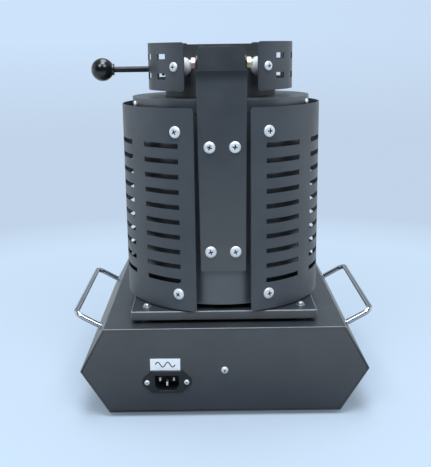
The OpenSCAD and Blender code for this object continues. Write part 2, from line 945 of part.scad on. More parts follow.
module tray() {
    half = tray_w / 2;
    color(slate)
        difference() {
            translate([-half, -half, base_z1 + tray_gap])
                cube([tray_w, tray_w, tray_flange_h]);
            translate([-half + sheet_t, -half + sheet_t, base_z1 + tray_gap - over])
                cube([tray_w - 2 * sheet_t, tray_w - 2 * sheet_t, tray_flange_h - sheet_t + over]);
            corners(tray_bolt_x)
                translate([0, 0, tray_z0 - over])
                    cylinder(d = screw_d + 2 * bore_gap, h = sheet_t + 2 * over);
            corners(drum_bolt_pos)
                translate([0, 0, tray_z0 - over])
                    cylinder(d = screw_d + 2 * bore_gap, h = sheet_t + 2 * over);
            riser_holes(tray_z0 - over, tray_z1 + over);
        }
}

module tray_spacers() {
    spacer_r = 6;
    color(zinc)
        corners(tray_bolt_x)
            ring(spacer_r, screw_d / 2 + bore_gap, base_z1, tray_z0);
}

nut_across = 7;
nut_h = 3.2;

module tray_bolts() {
    head_d = 9;
    head_h = 4;
    thread_end = 2;
    nut_z = base_z1 - sheet_t - nut_h;
    color(zinc)
        corners(tray_bolt_x) {
            translate([0, 0, tray_z1])
                flat_screw(head_d, head_h, screw_d, tray_z1 - nut_z + thread_end);
            translate([0, 0, nut_z])
                hex_nut(nut_across, nut_h, screw_d + 2 * bore_gap);
        }
}

module drum_spacers() {
    spacer_r = 7;
    color(zinc)
        corners(drum_bolt_pos)
            ring(spacer_r, screw_d / 2 + bore_gap, tray_z1, drum_z0);
}

module drum_bolts() {
    head_d = 9;
    head_h = 3;
    nut_z = drum_z0 + drum_t;
    color(zinc)
        corners(drum_bolt_pos) {
            translate([0, 0, tray_z0])
                rotate([180, 0, 0])
                    flat_screw(head_d, head_h, screw_d, nut_z + nut_h - tray_z0 + over);
            translate([0, 0, nut_z])
                hex_nut(nut_across, nut_h, screw_d + 2 * bore_gap);
        }
}

// Pilot holes in the drum wall for the shield, bracket and cap screws
module drum_wall_holes(gap) {
    hole_l = 12;
    for (sx = [-1, 1])
        for (front = [0, 1])
            for (z = shield_screw_z)
                polar(sx * (front * 180 + (1 - 2 * front) * shield_screw_angle), drum_r, z)
                    cylinder(d = screw_d + 2 * gap, h = hole_l, center = true);
    for (sx = [-1, 1])
        for (z = bracket_screw_z)
            translate([sx * bracket_screw_span / 2, drum_r, z])
                rotate([90, 0, 0])
                    cylinder(d = screw_d + 2 * gap, h = hole_l, center = true);
    for (angle = cap_screw_angles)
        polar(angle, drum_r, cap_screw_z)
            cylinder(d = cap_screw_d + 2 * gap, h = hole_l, center = true);
}

cap_screw_d = 3;
cap_screw_head_d = 6.4;
cap_screw_head_h = 2.2;
cap_screw_angles = [-110, -70, 70, 110];
cap_screw_z = cap_z1 - 6.5;
drum_wall_top = cap_z0 - 0.2;
module drum() {
    color(slate)
        difference() {
            translate([0, 0, drum_z0])
                cylinder(r = drum_r, h = drum_wall_top - drum_z0, $fn = 128);
            translate([0, 0, drum_z0 + drum_t])
                cylinder(r = drum_in_r, h = drum_h, $fn = 128);
            corners(drum_bolt_pos)
                translate([0, 0, drum_z0 - over])
                    cylinder(d = screw_d + 2 * bore_gap, h = drum_t + 2 * over);
            riser_holes(drum_z0 - over, drum_z0 + drum_t + over);
            drum_wall_holes(0.1);
        }
}

module drum_cap() {
    color(slate)
        difference() {
            translate([0, 0, cap_z1 - cap_rim_h])
                cylinder(r = cap_r, h = cap_rim_h, $fn = 128);
            translate([0, 0, cap_z1 - cap_rim_h - over])
                cylinder(r = cap_r - sheet_t, h = cap_rim_h - sheet_t + over, $fn = 128);
            translate([0, 0, cap_z0 - over])
                cylinder(r = cap_hole_r, h = sheet_t + 2 * over, $fn = 128);
            for (angle = cap_screw_angles)
                polar(angle, cap_r, cap_screw_z)
                    cylinder(d = cap_screw_d + 2 * bore_gap, h = 12, center = true);
        }
}

module cap_screws() {
    color(chrome)
        for (angle = cap_screw_angles)
            polar(angle, cap_r, cap_screw_z)
                flat_screw(cap_screw_head_d, cap_screw_head_h, cap_screw_d, cap_r - drum_in_r);
}

module mouth_collar() {
    neck_r = cap_hole_r - 0.5;
    bore_r = chamber_r + 1;
    color(ceramic)
        rotate_extrude($fn = 128)
            polygon([
                [bore_r, collar_z0], [collar_r, collar_z0], [collar_r, cap_z0 - 0.2],
                [neck_r, cap_z0 - 0.2], [neck_r, cap_z1 - 0.5], [bore_r + 2, cap_z1 - 0.5],
                [bore_r, cap_z1 - 2.5]
            ]);
}

module wall_insulation() {
    color([0.92, 0.91, 0.88])
        difference() {
            ring(insulation_r, insulation_in_r, chamber_z0, collar_z0 - bore_gap);
            lead_out(lead_d / 2 + lead_gap);
            rotate([0, 0, 180])
                translate([0, probe_r, chamber_z0 - over])
                    cylinder(d = probe_d + 2 * lead_gap, h = probe_h + over);
        }
}

module floor_insulation() {
    color([0.9, 0.89, 0.86])
        difference() {
            translate([0, 0, floor_z0])
                cylinder(r = insulation_r, h = floor_t - bore_gap, $fn = 128);
            corners(drum_bolt_pos)
                translate([0, 0, floor_z0 - over])
                    cylinder(r = nut_across, h = 2 * nut_h);
            riser_holes(floor_z0 - over, chamber_z0 + over);
        }
}

module muffle() {
    color([0.95, 0.93, 0.88])
        ring(muffle_r, chamber_r, chamber_z0, muffle_z1);
}

// Rings of points along the element: round the muffle, with a steady climb
coil_steps = 24;
coil_sides = 6;
coil_a0 = 90;
function coil_point(i, j) =
    let (turn = coil_a0 - 360 * i / coil_steps,
         side = 360 * j / coil_sides,
         r = coil_r + wire_d / 2 * cos(side),
         z = coil_z0 + coil_pitch * i / coil_steps + wire_d / 2 * sin(side))
    [r * cos(turn), r * sin(turn), z];

module heating_coil() {
    rings = coil_turns * coil_steps;
    points = [for (i = [0 : rings]) for (j = [0 : coil_sides - 1]) coil_point(i, j)];
    walls = [
        for (i = [0 : rings - 1])
            for (j = [0 : coil_sides - 1])
                for (half = [0, 1])
                    let (a = i * coil_sides + j,
                         b = i * coil_sides + (j + 1) % coil_sides,
                         c = a + coil_sides,
                         d = b + coil_sides)
                    half == 0 ? [a, b, c] : [b, d, c]
    ];
    start_cap = [for (j = [1 : coil_sides - 2]) [0, j + 1, j]];
    last = rings * coil_sides;
    end_cap = [for (j = [1 : coil_sides - 2]) [last, last + j, last + j + 1]];
    gaps = [
        for (i = [0 : coil_steps])
            for (j = [0 : coil_sides - 1])
                for (step = [-1 : 1])
                    for (k = [0 : coil_sides - 1])
                        norm(coil_point(i, j) - coil_point(i + coil_steps + step, k))
    ];
    echo("least gap of the element to itself", min(gaps));
    color([0.5, 0.42, 0.36])
        polyhedron(points, concat(walls, start_cap, end_cap));
}

riser_low_z = base_z1 - sheet_t - 8;

// Lead from the top of the element, out through the insulation and down into the base
module lead_out(r) {
    rotate([0, 0, 24]) {
        translate([0, lead_out_r, riser_low_z])
            cylinder(r = r, h = coil_z1 - riser_low_z);
        translate([0, lead_out_r, coil_z1])
            sphere(r = r);
        translate([0, coil_r + wire_d / 2 + lead_gap, coil_z1])
            rotate([-90, 0, 0])
                cylinder(r = r, h = lead_out_r - coil_r - wire_d / 2 - lead_gap);
    }
}

module element_leads() {
    color(zinc) {
        translate([0, coil_r, riser_low_z])
            cylinder(d = lead_d, h = coil_z0 - wire_d / 2 - lead_gap - riser_low_z);
        lead_out(lead_d / 2);
    }
}

module lead_bushes() {
    z1 = floor_z0 + floor_t / 2;
    color(ceramic)
        for (place = [riser_places[0], riser_places[1]])
            rotate([0, 0, -place[0]])
                translate([0, place[1], 0])
                    ring(bush_d / 2, lead_d / 2 + bore_gap, riser_low_z + 3, z1);
}

module thermocouple() {
    head_r = 7;
    head_l = 14;
    z_head = base_z1 - sheet_t - seat_gap;
    color(ceramic)
        rotate([0, 0, 180])
            translate([0, probe_r, 0]) {
                translate([0, 0, z_head - head_l])
                    cylinder(r = head_r, h = head_l);
                translate([0, 0, z_head - over])
                    cylinder(d = probe_d, h = chamber_z0 + probe_h - lead_gap - z_head);
            }
}

module crucible_stand() {
    color([0.88, 0.85, 0.78])
        translate([0, 0, chamber_z0])
            cylinder(r1 = crucible_foot_r + 4, r2 = crucible_foot_r + 2, h = stand_h);
}

module crucible() {
    lip_r = 9;
    neck_z = crucible_z1 - crucible_rim_h;
    in_r = crucible_r - crucible_t;
    floor_r = crucible_foot_r - crucible_t;
    color(graphite)
        difference() {
            rotate_extrude($fn = 96)
                polygon([
                    [0, crucible_z0], [crucible_foot_r - 2, crucible_z0], [crucible_foot_r, crucible_z0 + 2],
                    [crucible_r, neck_z - 3], [crucible_rim_r, neck_z], [crucible_rim_r, crucible_z1 - 1],
                    [crucible_rim_r - 1, crucible_z1], [in_r + 1, crucible_z1], [in_r, crucible_z1 - 1],
                    [floor_r, crucible_z0 + crucible_t + 4], [floor_r - 4, crucible_z0 + crucible_t],
                    [0, crucible_z0 + crucible_t]
                ]);
            translate([0, 0, crucible_z1 + lip_r * 0.45])
                rotate([90, 0, 0])
                    cylinder(r = lip_r, h = 2 * crucible_rim_r);
        }
}

module body_shield() {
    first_row = slot_z0 - slot_h / 2;
    difference() {
        half_shell(shield_r, shield_z0, shield_z1, shield_edge, 4, 1.5);
        for (column = [1 : slot_columns])
            for (row = [0 : slot_rows - 1])
                ring_wedge(shield_in_r - over, shield_r + over, first_row + row * slot_pitch,
                           first_row + row * slot_pitch + slot_h, column * slot_step, slot_angle);
        for (angle = [shield_screw_angle, 180 - shield_screw_angle])
            for (z = shield_screw_z)
                polar(angle, shield_r, z)
                    cylinder(d = screw_d + 2 * bore_gap, h = 6, center = true);
    }
}

module shield_right() {
    color(slate)
        body_shield();
}

module shield_left() {
    color(slate)
        mirror([1, 0, 0])
            body_shield();
}

// An angle and its mirror images to either side, at the rear and at the front
function four_ways(angle) = [angle, 180 - angle, 180 + angle, -angle];

// Places its children at every shield screw, with Z pointing outwards from a radius
module shield_screw_places(radius) {
    for (angle = four_ways(shield_screw_angle))
        for (z = shield_screw_z)
            polar(angle, radius, z)
                children();
}

// Radius at which a flat end of a spacer just clears the inside of a curved shield
function spacer_top_r(r) = sqrt(pow(r, 2) - pow(spacer_d / 2 - spacer_chamfer, 2)) - 0.05;

module shield_spacers() {
    color(ceramic)
        shield_screw_places(drum_r + 0.05)
            ceramic_spacer(spacer_top_r(shield_in_r) - drum_r - 0.05);
}

screw_head_h = 2.4;
module shield_screws() {
    color(chrome)
        shield_screw_places(shield_r)
            flat_screw(screw_head_d, screw_head_h, screw_d, shield_r - drum_in_r - bore_gap);
}

// Front view outline of the bracket below its bend, at an inset from its sides
function strap_outline(inset, reach) = [
    [-bracket_low_w / 2 + inset, bracket_z0 - reach], [bracket_low_w / 2 - inset, bracket_z0 - reach],
    [bracket_w / 2 - inset, bend_z + reach], [-bracket_w / 2 + inset, bend_z + reach]
];

module strap_block(inset, reach, y0, y1) {
    translate([0, y1, 0])
        rotate([90, 0, 0])
            linear_extrude(y1 - y0)
                polygon(strap_outline(inset, reach));
}

module hinge_bracket() {
    ear_low_z = cap_z1 + 4;
    notch_z0 = cap_z1 - cap_rim_h - 3;
    corner_r = 4;
    color(slate)
        difference() {
            union() {
                difference() {
                    strap_block(0, 0, bracket_lip_y, bracket_out_y);
                    strap_block(bracket_t, over, bracket_lip_y - over, bracket_in_y);
                    translate([-bracket_w, bracket_lip_y - over, notch_z0])
                        cube([2 * bracket_w, bracket_in_y - bracket_lip_y + over, bend_z]);
                }
                for (sx = [-1, 1])
                    translate([sx * (ear_x - bracket_t / 2) - bracket_t / 2, 0, 0]) {
                        translate([0, pin_y, ear_low_z])
                            cube([bracket_t, bracket_out_y - pin_y - bracket_t / 2, bend_z - ear_low_z]);
                        translate([0, pin_y, pin_z])
                            rotate([0, 90, 0])
                                cylinder(r = ear_r, h = bracket_t);
                        translate([0, pin_y - ear_r, pin_z - ear_r])
                            cube([bracket_t, 2 * ear_r, ear_r]);
                        translate([0, pin_y - ear_r, ear_low_z])
                            cube([bracket_t, ear_r + over, pin_z - ear_low_z]);
                    }
                translate([0, bracket_out_y, bend_z])
                    rotate([leaf_lean, 0, 0])
                        difference() {
                            translate([-leaf_w / 2, -bracket_t, -0.4])
                                cube([leaf_w, bracket_t, leaf_l + 0.4]);
                            for (sx = [0, 1])
                                mirror([sx, 0, 0])
                                    translate([leaf_w / 2, 0, leaf_l])
                                        rotate([90, 180, 0])
                                            corner_waste(corner_r, 6);
                        }
            }
            translate([0, pin_y, pin_z])
                rotate([0, 90, 0])
                    cylinder(d = pin_d + 2 * pin_fit, h = 2 * bracket_w, center = true);
            for (sx = [-1, 1])
                for (z = bracket_screw_z)
                    translate([sx * bracket_screw_span / 2, bracket_out_y, z])
                        rotate([90, 0, 0])
                            cylinder(d = screw_d + 2 * bore_gap, h = 8, center = true);
        }
}

module bracket_screws() {
    color(chrome)
        for (sx = [-1, 1])
            for (z = bracket_screw_z)
                translate([sx * bracket_screw_span / 2, bracket_out_y, z])
                    rotate([-90, 0, 0])
                        flat_screw(screw_head_d, screw_head_h, screw_d, bracket_out_y - bracket_screw_end_y);
}

module hinge_pin() {
    tail = 1.2;
    color(zinc)
        translate([0, pin_y, pin_z])
            rotate([0, 90, 0])
                cylinder(d = pin_d, h = 2 * (ear_x + hinge_nut_t + tail), center = true);
}

module hinge_nuts() {
    across = 10;
    color([0.85, 0.8, 0.62])
        for (side = [0, 1])
            mirror([side, 0, 0])
                translate([ear_x + bore_gap, pin_y, pin_z])
                    rotate([0, 90, 0])
                        hex_nut(across, hinge_nut_t, pin_d + 2 * pin_fit);
}

module lid_drum() {
    rim_w = 12;
    color(slate)
        difference() {
            translate([0, 0, lid_z0])
                cylinder(r = lid_r, h = lid_h, $fn = 128);
            translate([0, 0, lid_z0 + drum_t])
                cylinder(r = lid_r - drum_t, h = lid_h - 2 * drum_t, $fn = 128);
            translate([0, 0, lid_z0 - over])
                cylinder(r = lid_r - rim_w, h = drum_t + 2 * over, $fn = 128);
            lid_screw_places(lid_r)
                cylinder(d = screw_d + 0.2, h = 12, center = true);
            translate([lid_r, 0, lid_mid_z - 3])
                rotate([0, 90, 0])
                    cylinder(d = rod_d + 2 * bore_gap, h = 12, center = true);
        }
}

module lid_insulation() {
    body_r = lid_r - drum_t - 0.5;
    neck_r = plug_r + 8;
    z0 = lid_z0 + drum_t + bore_gap;
    z1 = lid_z1 - drum_t - bore_gap;
    color([0.93, 0.92, 0.89])
        rotate_extrude($fn = 128)
            polygon([
                [0, lid_z0 - plug_drop], [plug_r - 1, lid_z0 - plug_drop], [plug_r, lid_z0 - plug_drop + 1],
                [plug_r, lid_z0 + bore_gap], [neck_r, lid_z0 + bore_gap], [neck_r, z0],
                [body_r, z0], [body_r, z1], [0, z1]
            ]);
}

// Hinge arm: a plate on the back of the lid drum with two lugs on the pin
module lid_hinge_arm() {
    plate_t = 1.8;
    y0 = lid_r + 0.05;
    plate_z0 = pin_z - 21;
    plate_h = 36;
    half = arm_lug_x + arm_lug_t;
    color(slate)
        difference() {
            union() {
                translate([-half, y0, plate_z0])
                    cube([2 * half, plate_t, plate_h]);
                for (side = [0, 1])
                    mirror([side, 0, 0])
                        translate([arm_lug_x, 0, 0]) {
                            translate([0, y0, pin_z - arm_r])
                                cube([arm_lug_t, pin_y - y0, 2 * arm_r]);
                            translate([0, pin_y, pin_z])
                                rotate([0, 90, 0])
                                    cylinder(r = arm_r, h = arm_lug_t);
                        }
            }
            translate([0, pin_y, pin_z])
                rotate([0, 90, 0])
                    cylinder(d = pin_d + 2 * pin_fit, h = 4 * half, center = true);
        }
}

module lid_half_shield() {
    difference() {
        half_shell(lid_shield_r, lid_shield_z0, lid_shield_z1, lid_edge, 3, 3);
        for (column = [0 : 3])
            for (row = vent_rows)
                ring_wedge(lid_shield_in_r - over, lid_shield_r + over, lid_mid_z + row - vent_h / 2,
                           lid_mid_z + row + vent_h / 2, vent_first + column * vent_step, vent_angle);
        for (angle = [lid_screw_angle, 180 - lid_screw_angle])
            polar(angle, lid_shield_r, lid_mid_z)
                cylinder(d = screw_d + 2 * bore_gap, h = 6, center = true);
    }
}

module lid_shield_right() {
    color(slate)
        difference() {
            lid_half_shield();
            translate([lid_shield_r, 0, rod_z])
                rotate([0, 90, 0])
                    cylinder(d = rod_d + 2, h = 12, center = true);
        }
}

module lid_shield_left() {
    color(slate)
        mirror([1, 0, 0])
            lid_half_shield();
}

// Places its children at every lid screw, with Z pointing outwards from a radius
module lid_screw_places(radius) {
    for (angle = four_ways(lid_screw_angle))
        polar(angle, radius, lid_mid_z)
            children();
}

module lid_spacers() {
    color(ceramic)
        lid_screw_places(lid_r + 0.05)
            ceramic_spacer(spacer_top_r(lid_shield_in_r) - lid_r - 0.05);
}

module lid_screws() {
    head_d = 9.5;
    color(chrome)
        lid_screw_places(lid_shield_r)
            flat_screw(head_d, screw_head_h, screw_d, lid_shield_r - lid_r + drum_t + 0.2);
}

rod_z = lid_mid_z - 3;
module knob_rod() {
    flange_r = 7;
    color(graphite)
        translate([0, 0, rod_z])
            rotate([0, 90, 0]) {
                translate([0, 0, lid_r - drum_t - 0.2])
                    cylinder(d = rod_d, h = knob_x - knob_d / 4 - lid_r + drum_t + 0.2);
                translate([0, 0, lid_r + 0.5])
                    cylinder(r = flange_r, h = 3);
            }
}

module ball_knob() {
    boss_r = 6;
    color(black)
        translate([knob_x, 0, rod_z])
            rotate([0, 90, 0])
                difference() {
                    union() {
                        sphere(d = knob_d);
                        translate([0, 0, -knob_d / 2 - 0.6])
                            cylinder(r = boss_r, h = knob_d / 2);
                    }
                    translate([0, 0, -knob_d])
                        cylinder(d = rod_d + 2 * bore_gap, h = knob_d * 0.75 + bore_gap);
                }
}

base_shell();
front_panel();
rear_panel();
feet();
panel_bracket();
rear_panel_screw();
handle_left();
handle_right();
handle_screws();
power_inlet();
inlet_pins();
inlet_screws();
temperature_controller();
controller_window();
set_button();
shift_button();
down_button();
up_button();
switch_frame();
switch_rocker();
relay_heat_sink();
solid_state_relay();
terminal_block();
tray();
tray_spacers();
tray_bolts();
drum_spacers();
drum_bolts();
drum();
drum_cap();
cap_screws();
mouth_collar();
wall_insulation();
floor_insulation();
muffle();
heating_coil();
element_leads();
lead_bushes();
thermocouple();
crucible_stand();
crucible();
shield_left();
shield_right();
shield_spacers();
shield_screws();
hinge_bracket();
bracket_screws();
hinge_pin();
hinge_nuts();
lid_drum();
lid_insulation();
lid_hinge_arm();
lid_shield_left();
lid_shield_right();
lid_spacers();
lid_screws();
knob_rod();
ball_knob();
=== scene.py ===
"""Looks of the electric gold melting furnace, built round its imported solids."""
import json
import math
import random

import bpy
from mathutils import Matrix, Vector

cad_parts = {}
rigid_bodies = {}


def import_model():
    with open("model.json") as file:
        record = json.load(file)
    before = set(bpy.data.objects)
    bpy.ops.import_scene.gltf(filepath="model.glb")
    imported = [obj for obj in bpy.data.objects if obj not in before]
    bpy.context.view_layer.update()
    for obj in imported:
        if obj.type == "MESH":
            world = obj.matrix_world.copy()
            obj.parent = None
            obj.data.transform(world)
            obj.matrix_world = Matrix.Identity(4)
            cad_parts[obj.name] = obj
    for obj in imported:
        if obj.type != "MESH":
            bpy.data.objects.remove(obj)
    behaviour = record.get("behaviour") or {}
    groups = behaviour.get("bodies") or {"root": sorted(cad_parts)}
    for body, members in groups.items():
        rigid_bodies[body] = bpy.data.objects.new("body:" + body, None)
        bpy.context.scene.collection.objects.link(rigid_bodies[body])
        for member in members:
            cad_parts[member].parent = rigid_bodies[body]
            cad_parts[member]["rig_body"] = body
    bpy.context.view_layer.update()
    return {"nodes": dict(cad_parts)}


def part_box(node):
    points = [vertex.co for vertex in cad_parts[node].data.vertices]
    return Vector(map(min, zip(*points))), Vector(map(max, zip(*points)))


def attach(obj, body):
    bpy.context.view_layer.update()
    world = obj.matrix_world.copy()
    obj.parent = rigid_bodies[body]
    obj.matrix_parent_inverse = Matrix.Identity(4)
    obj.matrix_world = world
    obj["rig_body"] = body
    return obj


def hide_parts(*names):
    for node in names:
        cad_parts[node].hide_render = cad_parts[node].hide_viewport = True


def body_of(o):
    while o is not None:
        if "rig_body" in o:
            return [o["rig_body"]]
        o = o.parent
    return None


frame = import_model()
nodes = frame["nodes"]
scene = bpy.context.scene
scene.view_settings.view_transform = "Standard"

TURNING_SEED = 7
screw_dice = random.Random(TURNING_SEED)

# Camera: the photograph's height in pixels, then the eye's place, its turn, dip and roll, and its lens
PHOTO_H = 467
EYE = Vector((0.01048, 0.82938, 0.36492))
EYE_TURN, EYE_DIP, EYE_ROLL = math.radians(0.16), math.radians(13.62), math.radians(-0.83)
FOCAL_PX = 768.36
SHIFT_PX = (5.08, 1.46)
SENSOR_MM, NEAREST = 36.0, 0.01


def place_camera():
    """Stands the camera where the photograph was taken from."""
    look = Vector((math.sin(EYE_TURN) * math.cos(EYE_DIP),
                   -math.cos(EYE_TURN) * math.cos(EYE_DIP),
                   -math.sin(EYE_DIP)))
    level = Vector((-math.cos(EYE_TURN), -math.sin(EYE_TURN), 0))
    upright = level.cross(look)
    right = math.cos(EYE_ROLL) * level + math.sin(EYE_ROLL) * upright
    up = math.cos(EYE_ROLL) * upright - math.sin(EYE_ROLL) * level
    data = bpy.data.cameras.new("photo_camera")
    data.sensor_width = SENSOR_MM
    data.lens = FOCAL_PX / PHOTO_H * SENSOR_MM
    data.shift_x = SHIFT_PX[0] / PHOTO_H
    data.shift_y = SHIFT_PX[1] / PHOTO_H
    data.clip_start = NEAREST
    camera = bpy.data.objects.new("photo_camera", data)
    scene.collection.objects.link(camera)
    turn = Matrix((right, up, -look)).transposed().to_4x4()
    camera.matrix_world = Matrix.Translation(EYE) @ turn
    scene.camera = camera


place_camera()

DIGITS = 6


def lowest(node, axis):
    """A solid's lowest place along an axis, to the nearest micrometre."""
    return round(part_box(node)[0]["xyz".index(axis)], DIGITS)


def highest(node, axis):
    """A solid's highest place along an axis, to the nearest micrometre."""
    return round(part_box(node)[1]["xyz".index(axis)], DIGITS)


def halfway(node, axis):
    """The middle of a solid along an axis."""
    return (lowest(node, axis) + highest(node, axis)) / 2


# Places on the furnace, in metres, taken from its solids
BASE_LOW_Z, BASE_TOP_Z = lowest("base_shell", "z"), highest("base_shell", "z")
BASE_FRONT_Y, BASE_REAR_Y = lowest("base_shell", "y"), highest("base_shell", "y")
BASE_MID_Y, PANEL_MID_Z = halfway("base_shell", "y"), halfway("rear_panel", "z")
FRONT_FACE_Y, REAR_FACE_Y = lowest("front_panel", "y"), highest("rear_panel", "y")
TRAY_HALF, TRAY_LOW_Z, TRAY_TOP_Z = highest("tray", "x"), highest("tray_spacers", "z"), highest("tray", "z")
DRUM_R, DRUM_LOW_Z, SHIELD_R = highest("drum", "x"), lowest("drum", "z"), highest("shield_right", "x")
CAP_R, CAP_TOP_Z = highest("drum_cap", "x"), highest("drum_cap", "z")
LID_R, LID_SHIELD_R = highest("lid_drum", "x"), highest("lid_shield_right", "x")
LID_MID_Z, ROD_Z = halfway("lid_shield_right", "z"), halfway("knob_rod", "z")
PIN_Y, PIN_Z, EAR_X = halfway("hinge_pin", "y"), halfway("hinge_pin", "z"), highest("hinge_bracket", "x")
INLET_X, INLET_Z = halfway("power_inlet", "x"), halfway("power_inlet", "z")
INLET_FACE_Y, INLET_TOP_Z = highest("power_inlet", "y"), highest("power_inlet", "z")
KEY_Y, KEY_Z = lowest("set_button", "y"), halfway("set_button", "z")
WINDOW_Y, SWITCH_X = lowest("controller_window", "y"), halfway("switch_frame", "x")

# Sizes of its pieces and places that no solid's end gives, in metres, and turns in degrees
SHEET, SHIELD_T = 0.0015, 0.0012
SLOPE_RUN, SLOPE_RISE = 0.025, BASE_TOP_Z - PANEL_MID_Z
SLOPE_X, SLOPE_Z = highest("base_shell", "x") - SLOPE_RUN / 2, BASE_TOP_Z - SLOPE_RISE / 2
SLOPE_TILT = math.atan2(SLOPE_RISE, SLOPE_RUN)
HANDLE_BAR, HANDLE_RISE, HANDLE_BEND = 0.006, 0.031, 0.009
HANDLE_SPAN = highest("handle_left", "y") - lowest("handle_left", "y") - HANDLE_BAR
COLLAR_R, COLLAR_H = 0.0043, 0.0011
FOOT_X, FOOT_YS = 0.095, (-0.181, 0.081)
BOLT_HEAD, TRAY_BOLT_H, DRUM_BOLT_H, TRAY_BOLT_END, DRUM_BOLT_END = 0.009, 0.004, 0.003, 0.002, 0.001
TRAY_BOLT = highest("tray_bolts", "x") - BOLT_HEAD / 2
DRUM_BOLT = highest("drum_bolts", "x") - BOLT_HEAD / 2
SHIELD_SCREW_TURN, SHIELD_SCREW_Z = 25.6, (0.126, 0.288)
CAP_SCREW_TURNS, CAP_SCREW_Z = (-110, -70, 70, 110), CAP_TOP_Z - 0.0065
LID_SCREW_TURN = 37.7
SPACER_D, SPACER_EDGE, SPACER_BORE = 0.0185, 0.0016, 0.0043
STRAP_Y, STRAP_SCREW_X, STRAP_SCREW_Z = 0.0948, 0.0123, (0.1695, 0.273)
ROD_D, KNOB_D = 0.006, 0.024
KNOB_X = highest("ball_knob", "x") - KNOB_D / 2
INLET_SCREW_X = 0.020
LABEL_W, LABEL_H, LABEL_X, LABEL_GAP, LABEL_LEAN = 0.0303, 0.0127, 0.0599, 0.0003, math.radians(-0.5)
DISPLAY_X, LAMPS_X, LAMPS_Z, LAMP_STEP = -0.0045, 0.0245, 0.0725, 0.0068
SIGN_IN = 0.00027
ROCKER_IN, ROCKER_TILT = 0.003, math.radians(9)

# Small gaps, in metres: the width that tells two heights apart, a seat's and a sliding fit's
HAIR, SEAT_GAP, SLIDE_GAP = 0.0001, 0.00005, 0.00015

# Head width, head height, shank width and shank length of each kind of screw
SHIELD_SCREW = (0.0115, 0.0023, 0.004, 0.0132)
LID_SCREW = (0.0095, 0.0023, 0.004, 0.0180)
CAP_SCREW = (0.0064, 0.0021, 0.003, 0.003)
STRAP_SCREW = (0.0115, 0.0023, 0.004, 0.005)
PANEL_SCREW = (0.0072, 0.0025, 0.004, 0.008)
INLET_SCREW = (0.0052, 0.0017, 0.003, 0.008)
HANDLE_SCREW = (0.008, 0.0025, 0.004, 0.010)

# Width across the flats, height and bore of the nuts on the base and on the hinge pin
THREAD, NUT_H = 0.004, 0.0032
PLAIN_NUT, PIN_NUT = (0.007, NUT_H, THREAD), (0.010, 0.0048, 0.0062)

# Turns from which an edge counts as a corner, and up to which faces are shaded as one curve or are flat
SHEET_CORNER, TURNED_CORNER, NUT_CORNER, FOLD_CORNER = 30, 40, 25, 35
SOFTENED_TURN, WIRE_TURN, ROUND_TURN, SWEEP_TURN, FLAT_TURN = 50, 25, 35, 40, 0.2

# Slot of the painted highlight on softened edges, and the sign that an edge keeps its neighbours' finish
EDGE_SLOT, SAME_SLOT = 1, -1


# Finishes

NOISE_LOW, NOISE_HIGH = 0.3, 0.7
COAT_ROUGHNESS = 0.14


def shade(tone, share):
    """The tone, made darker or lighter."""
    return tuple(share * part for part in tone)


class Finish:
    """A material whose colour, roughness and relief all vary a little over the piece."""

    def __init__(self, name, metal=0.0, coat=0.0, specular=0.5):
        self.material = bpy.data.materials.new(name)
        self.material.use_nodes = True
        self.tree = self.material.node_tree
        self.shader = self.tree.nodes["Principled BSDF"]
        self.shader.inputs["Metallic"].default_value = metal
        self.shader.inputs["Coat Weight"].default_value = coat
        self.shader.inputs["Specular IOR Level"].default_value = specular
        self.place = self.add("ShaderNodeTexCoord").outputs["Object"]

    def add(self, kind):
        return self.tree.nodes.new(kind)

    def link(self, source, target):
        self.tree.links.new(source, target)

    def noise(self, scale, detail, stretch=None):
        spot = self.place
        if stretch:
            mapping = self.add("ShaderNodeMapping")
            mapping.inputs["Scale"].default_value = stretch
            self.link(spot, mapping.inputs["Vector"])
            spot = mapping.outputs["Vector"]
        node = self.add("ShaderNodeTexNoise")
        node.inputs["Scale"].default_value = scale
        node.inputs["Detail"].default_value = detail
        self.link(spot, node.inputs["Vector"])
        return node.outputs["Fac"]

    def spread(self, source, low, high, start=NOISE_LOW, end=NOISE_HIGH):
        """Runs from low to high while the source runs from start to end."""
        node = self.add("ShaderNodeMapRange")
        node.inputs["From Min"].default_value = start
        node.inputs["From Max"].default_value = end
        node.inputs["To Min"].default_value = low
        node.inputs["To Max"].default_value = high
        self.link(source, node.inputs["Value"])
        return node.outputs["Result"]

    def combine(self, operation, first, *others):
        for other in others:
            node = self.add("ShaderNodeMath")
            node.operation = operation
            self.link(first, node.inputs[0])
            self.link(other, node.inputs[1])
            first = node.outputs["Value"]
        return first

    def tint(self, amount, first, second):
        """Runs from the first tone or socket to the second one."""
        node = self.add("ShaderNodeMix")
        node.data_type = "RGBA"
        self.link(amount, node.inputs["Factor"])
        for socket, colour in (("A", first), ("B", second)):
            target = [i for i in node.inputs if i.name == socket and i.type == "RGBA"][0]
            if isinstance(colour, tuple):
                target.default_value = (*colour, 1)
            else:
                self.link(colour, target)
        return [o for o in node.outputs if o.type == "RGBA"][0]

    def colour(self, socket):
        self.link(socket, self.shader.inputs["Base Color"])

    def roughness(self, socket):
        self.link(socket, self.shader.inputs["Roughness"])

    def relief(self, *layers):
        """Bumps over one another: each layer is a height and its depth in metres."""
        last = None
        for height, depth in layers:
            bump = self.add("ShaderNodeBump")
            bump.inputs["Distance"].default_value = depth
            self.link(height, bump.inputs["Height"])
            if last:
                self.link(last, bump.inputs["Normal"])
            last = bump.outputs["Normal"]
        self.link(last, self.shader.inputs["Normal"])


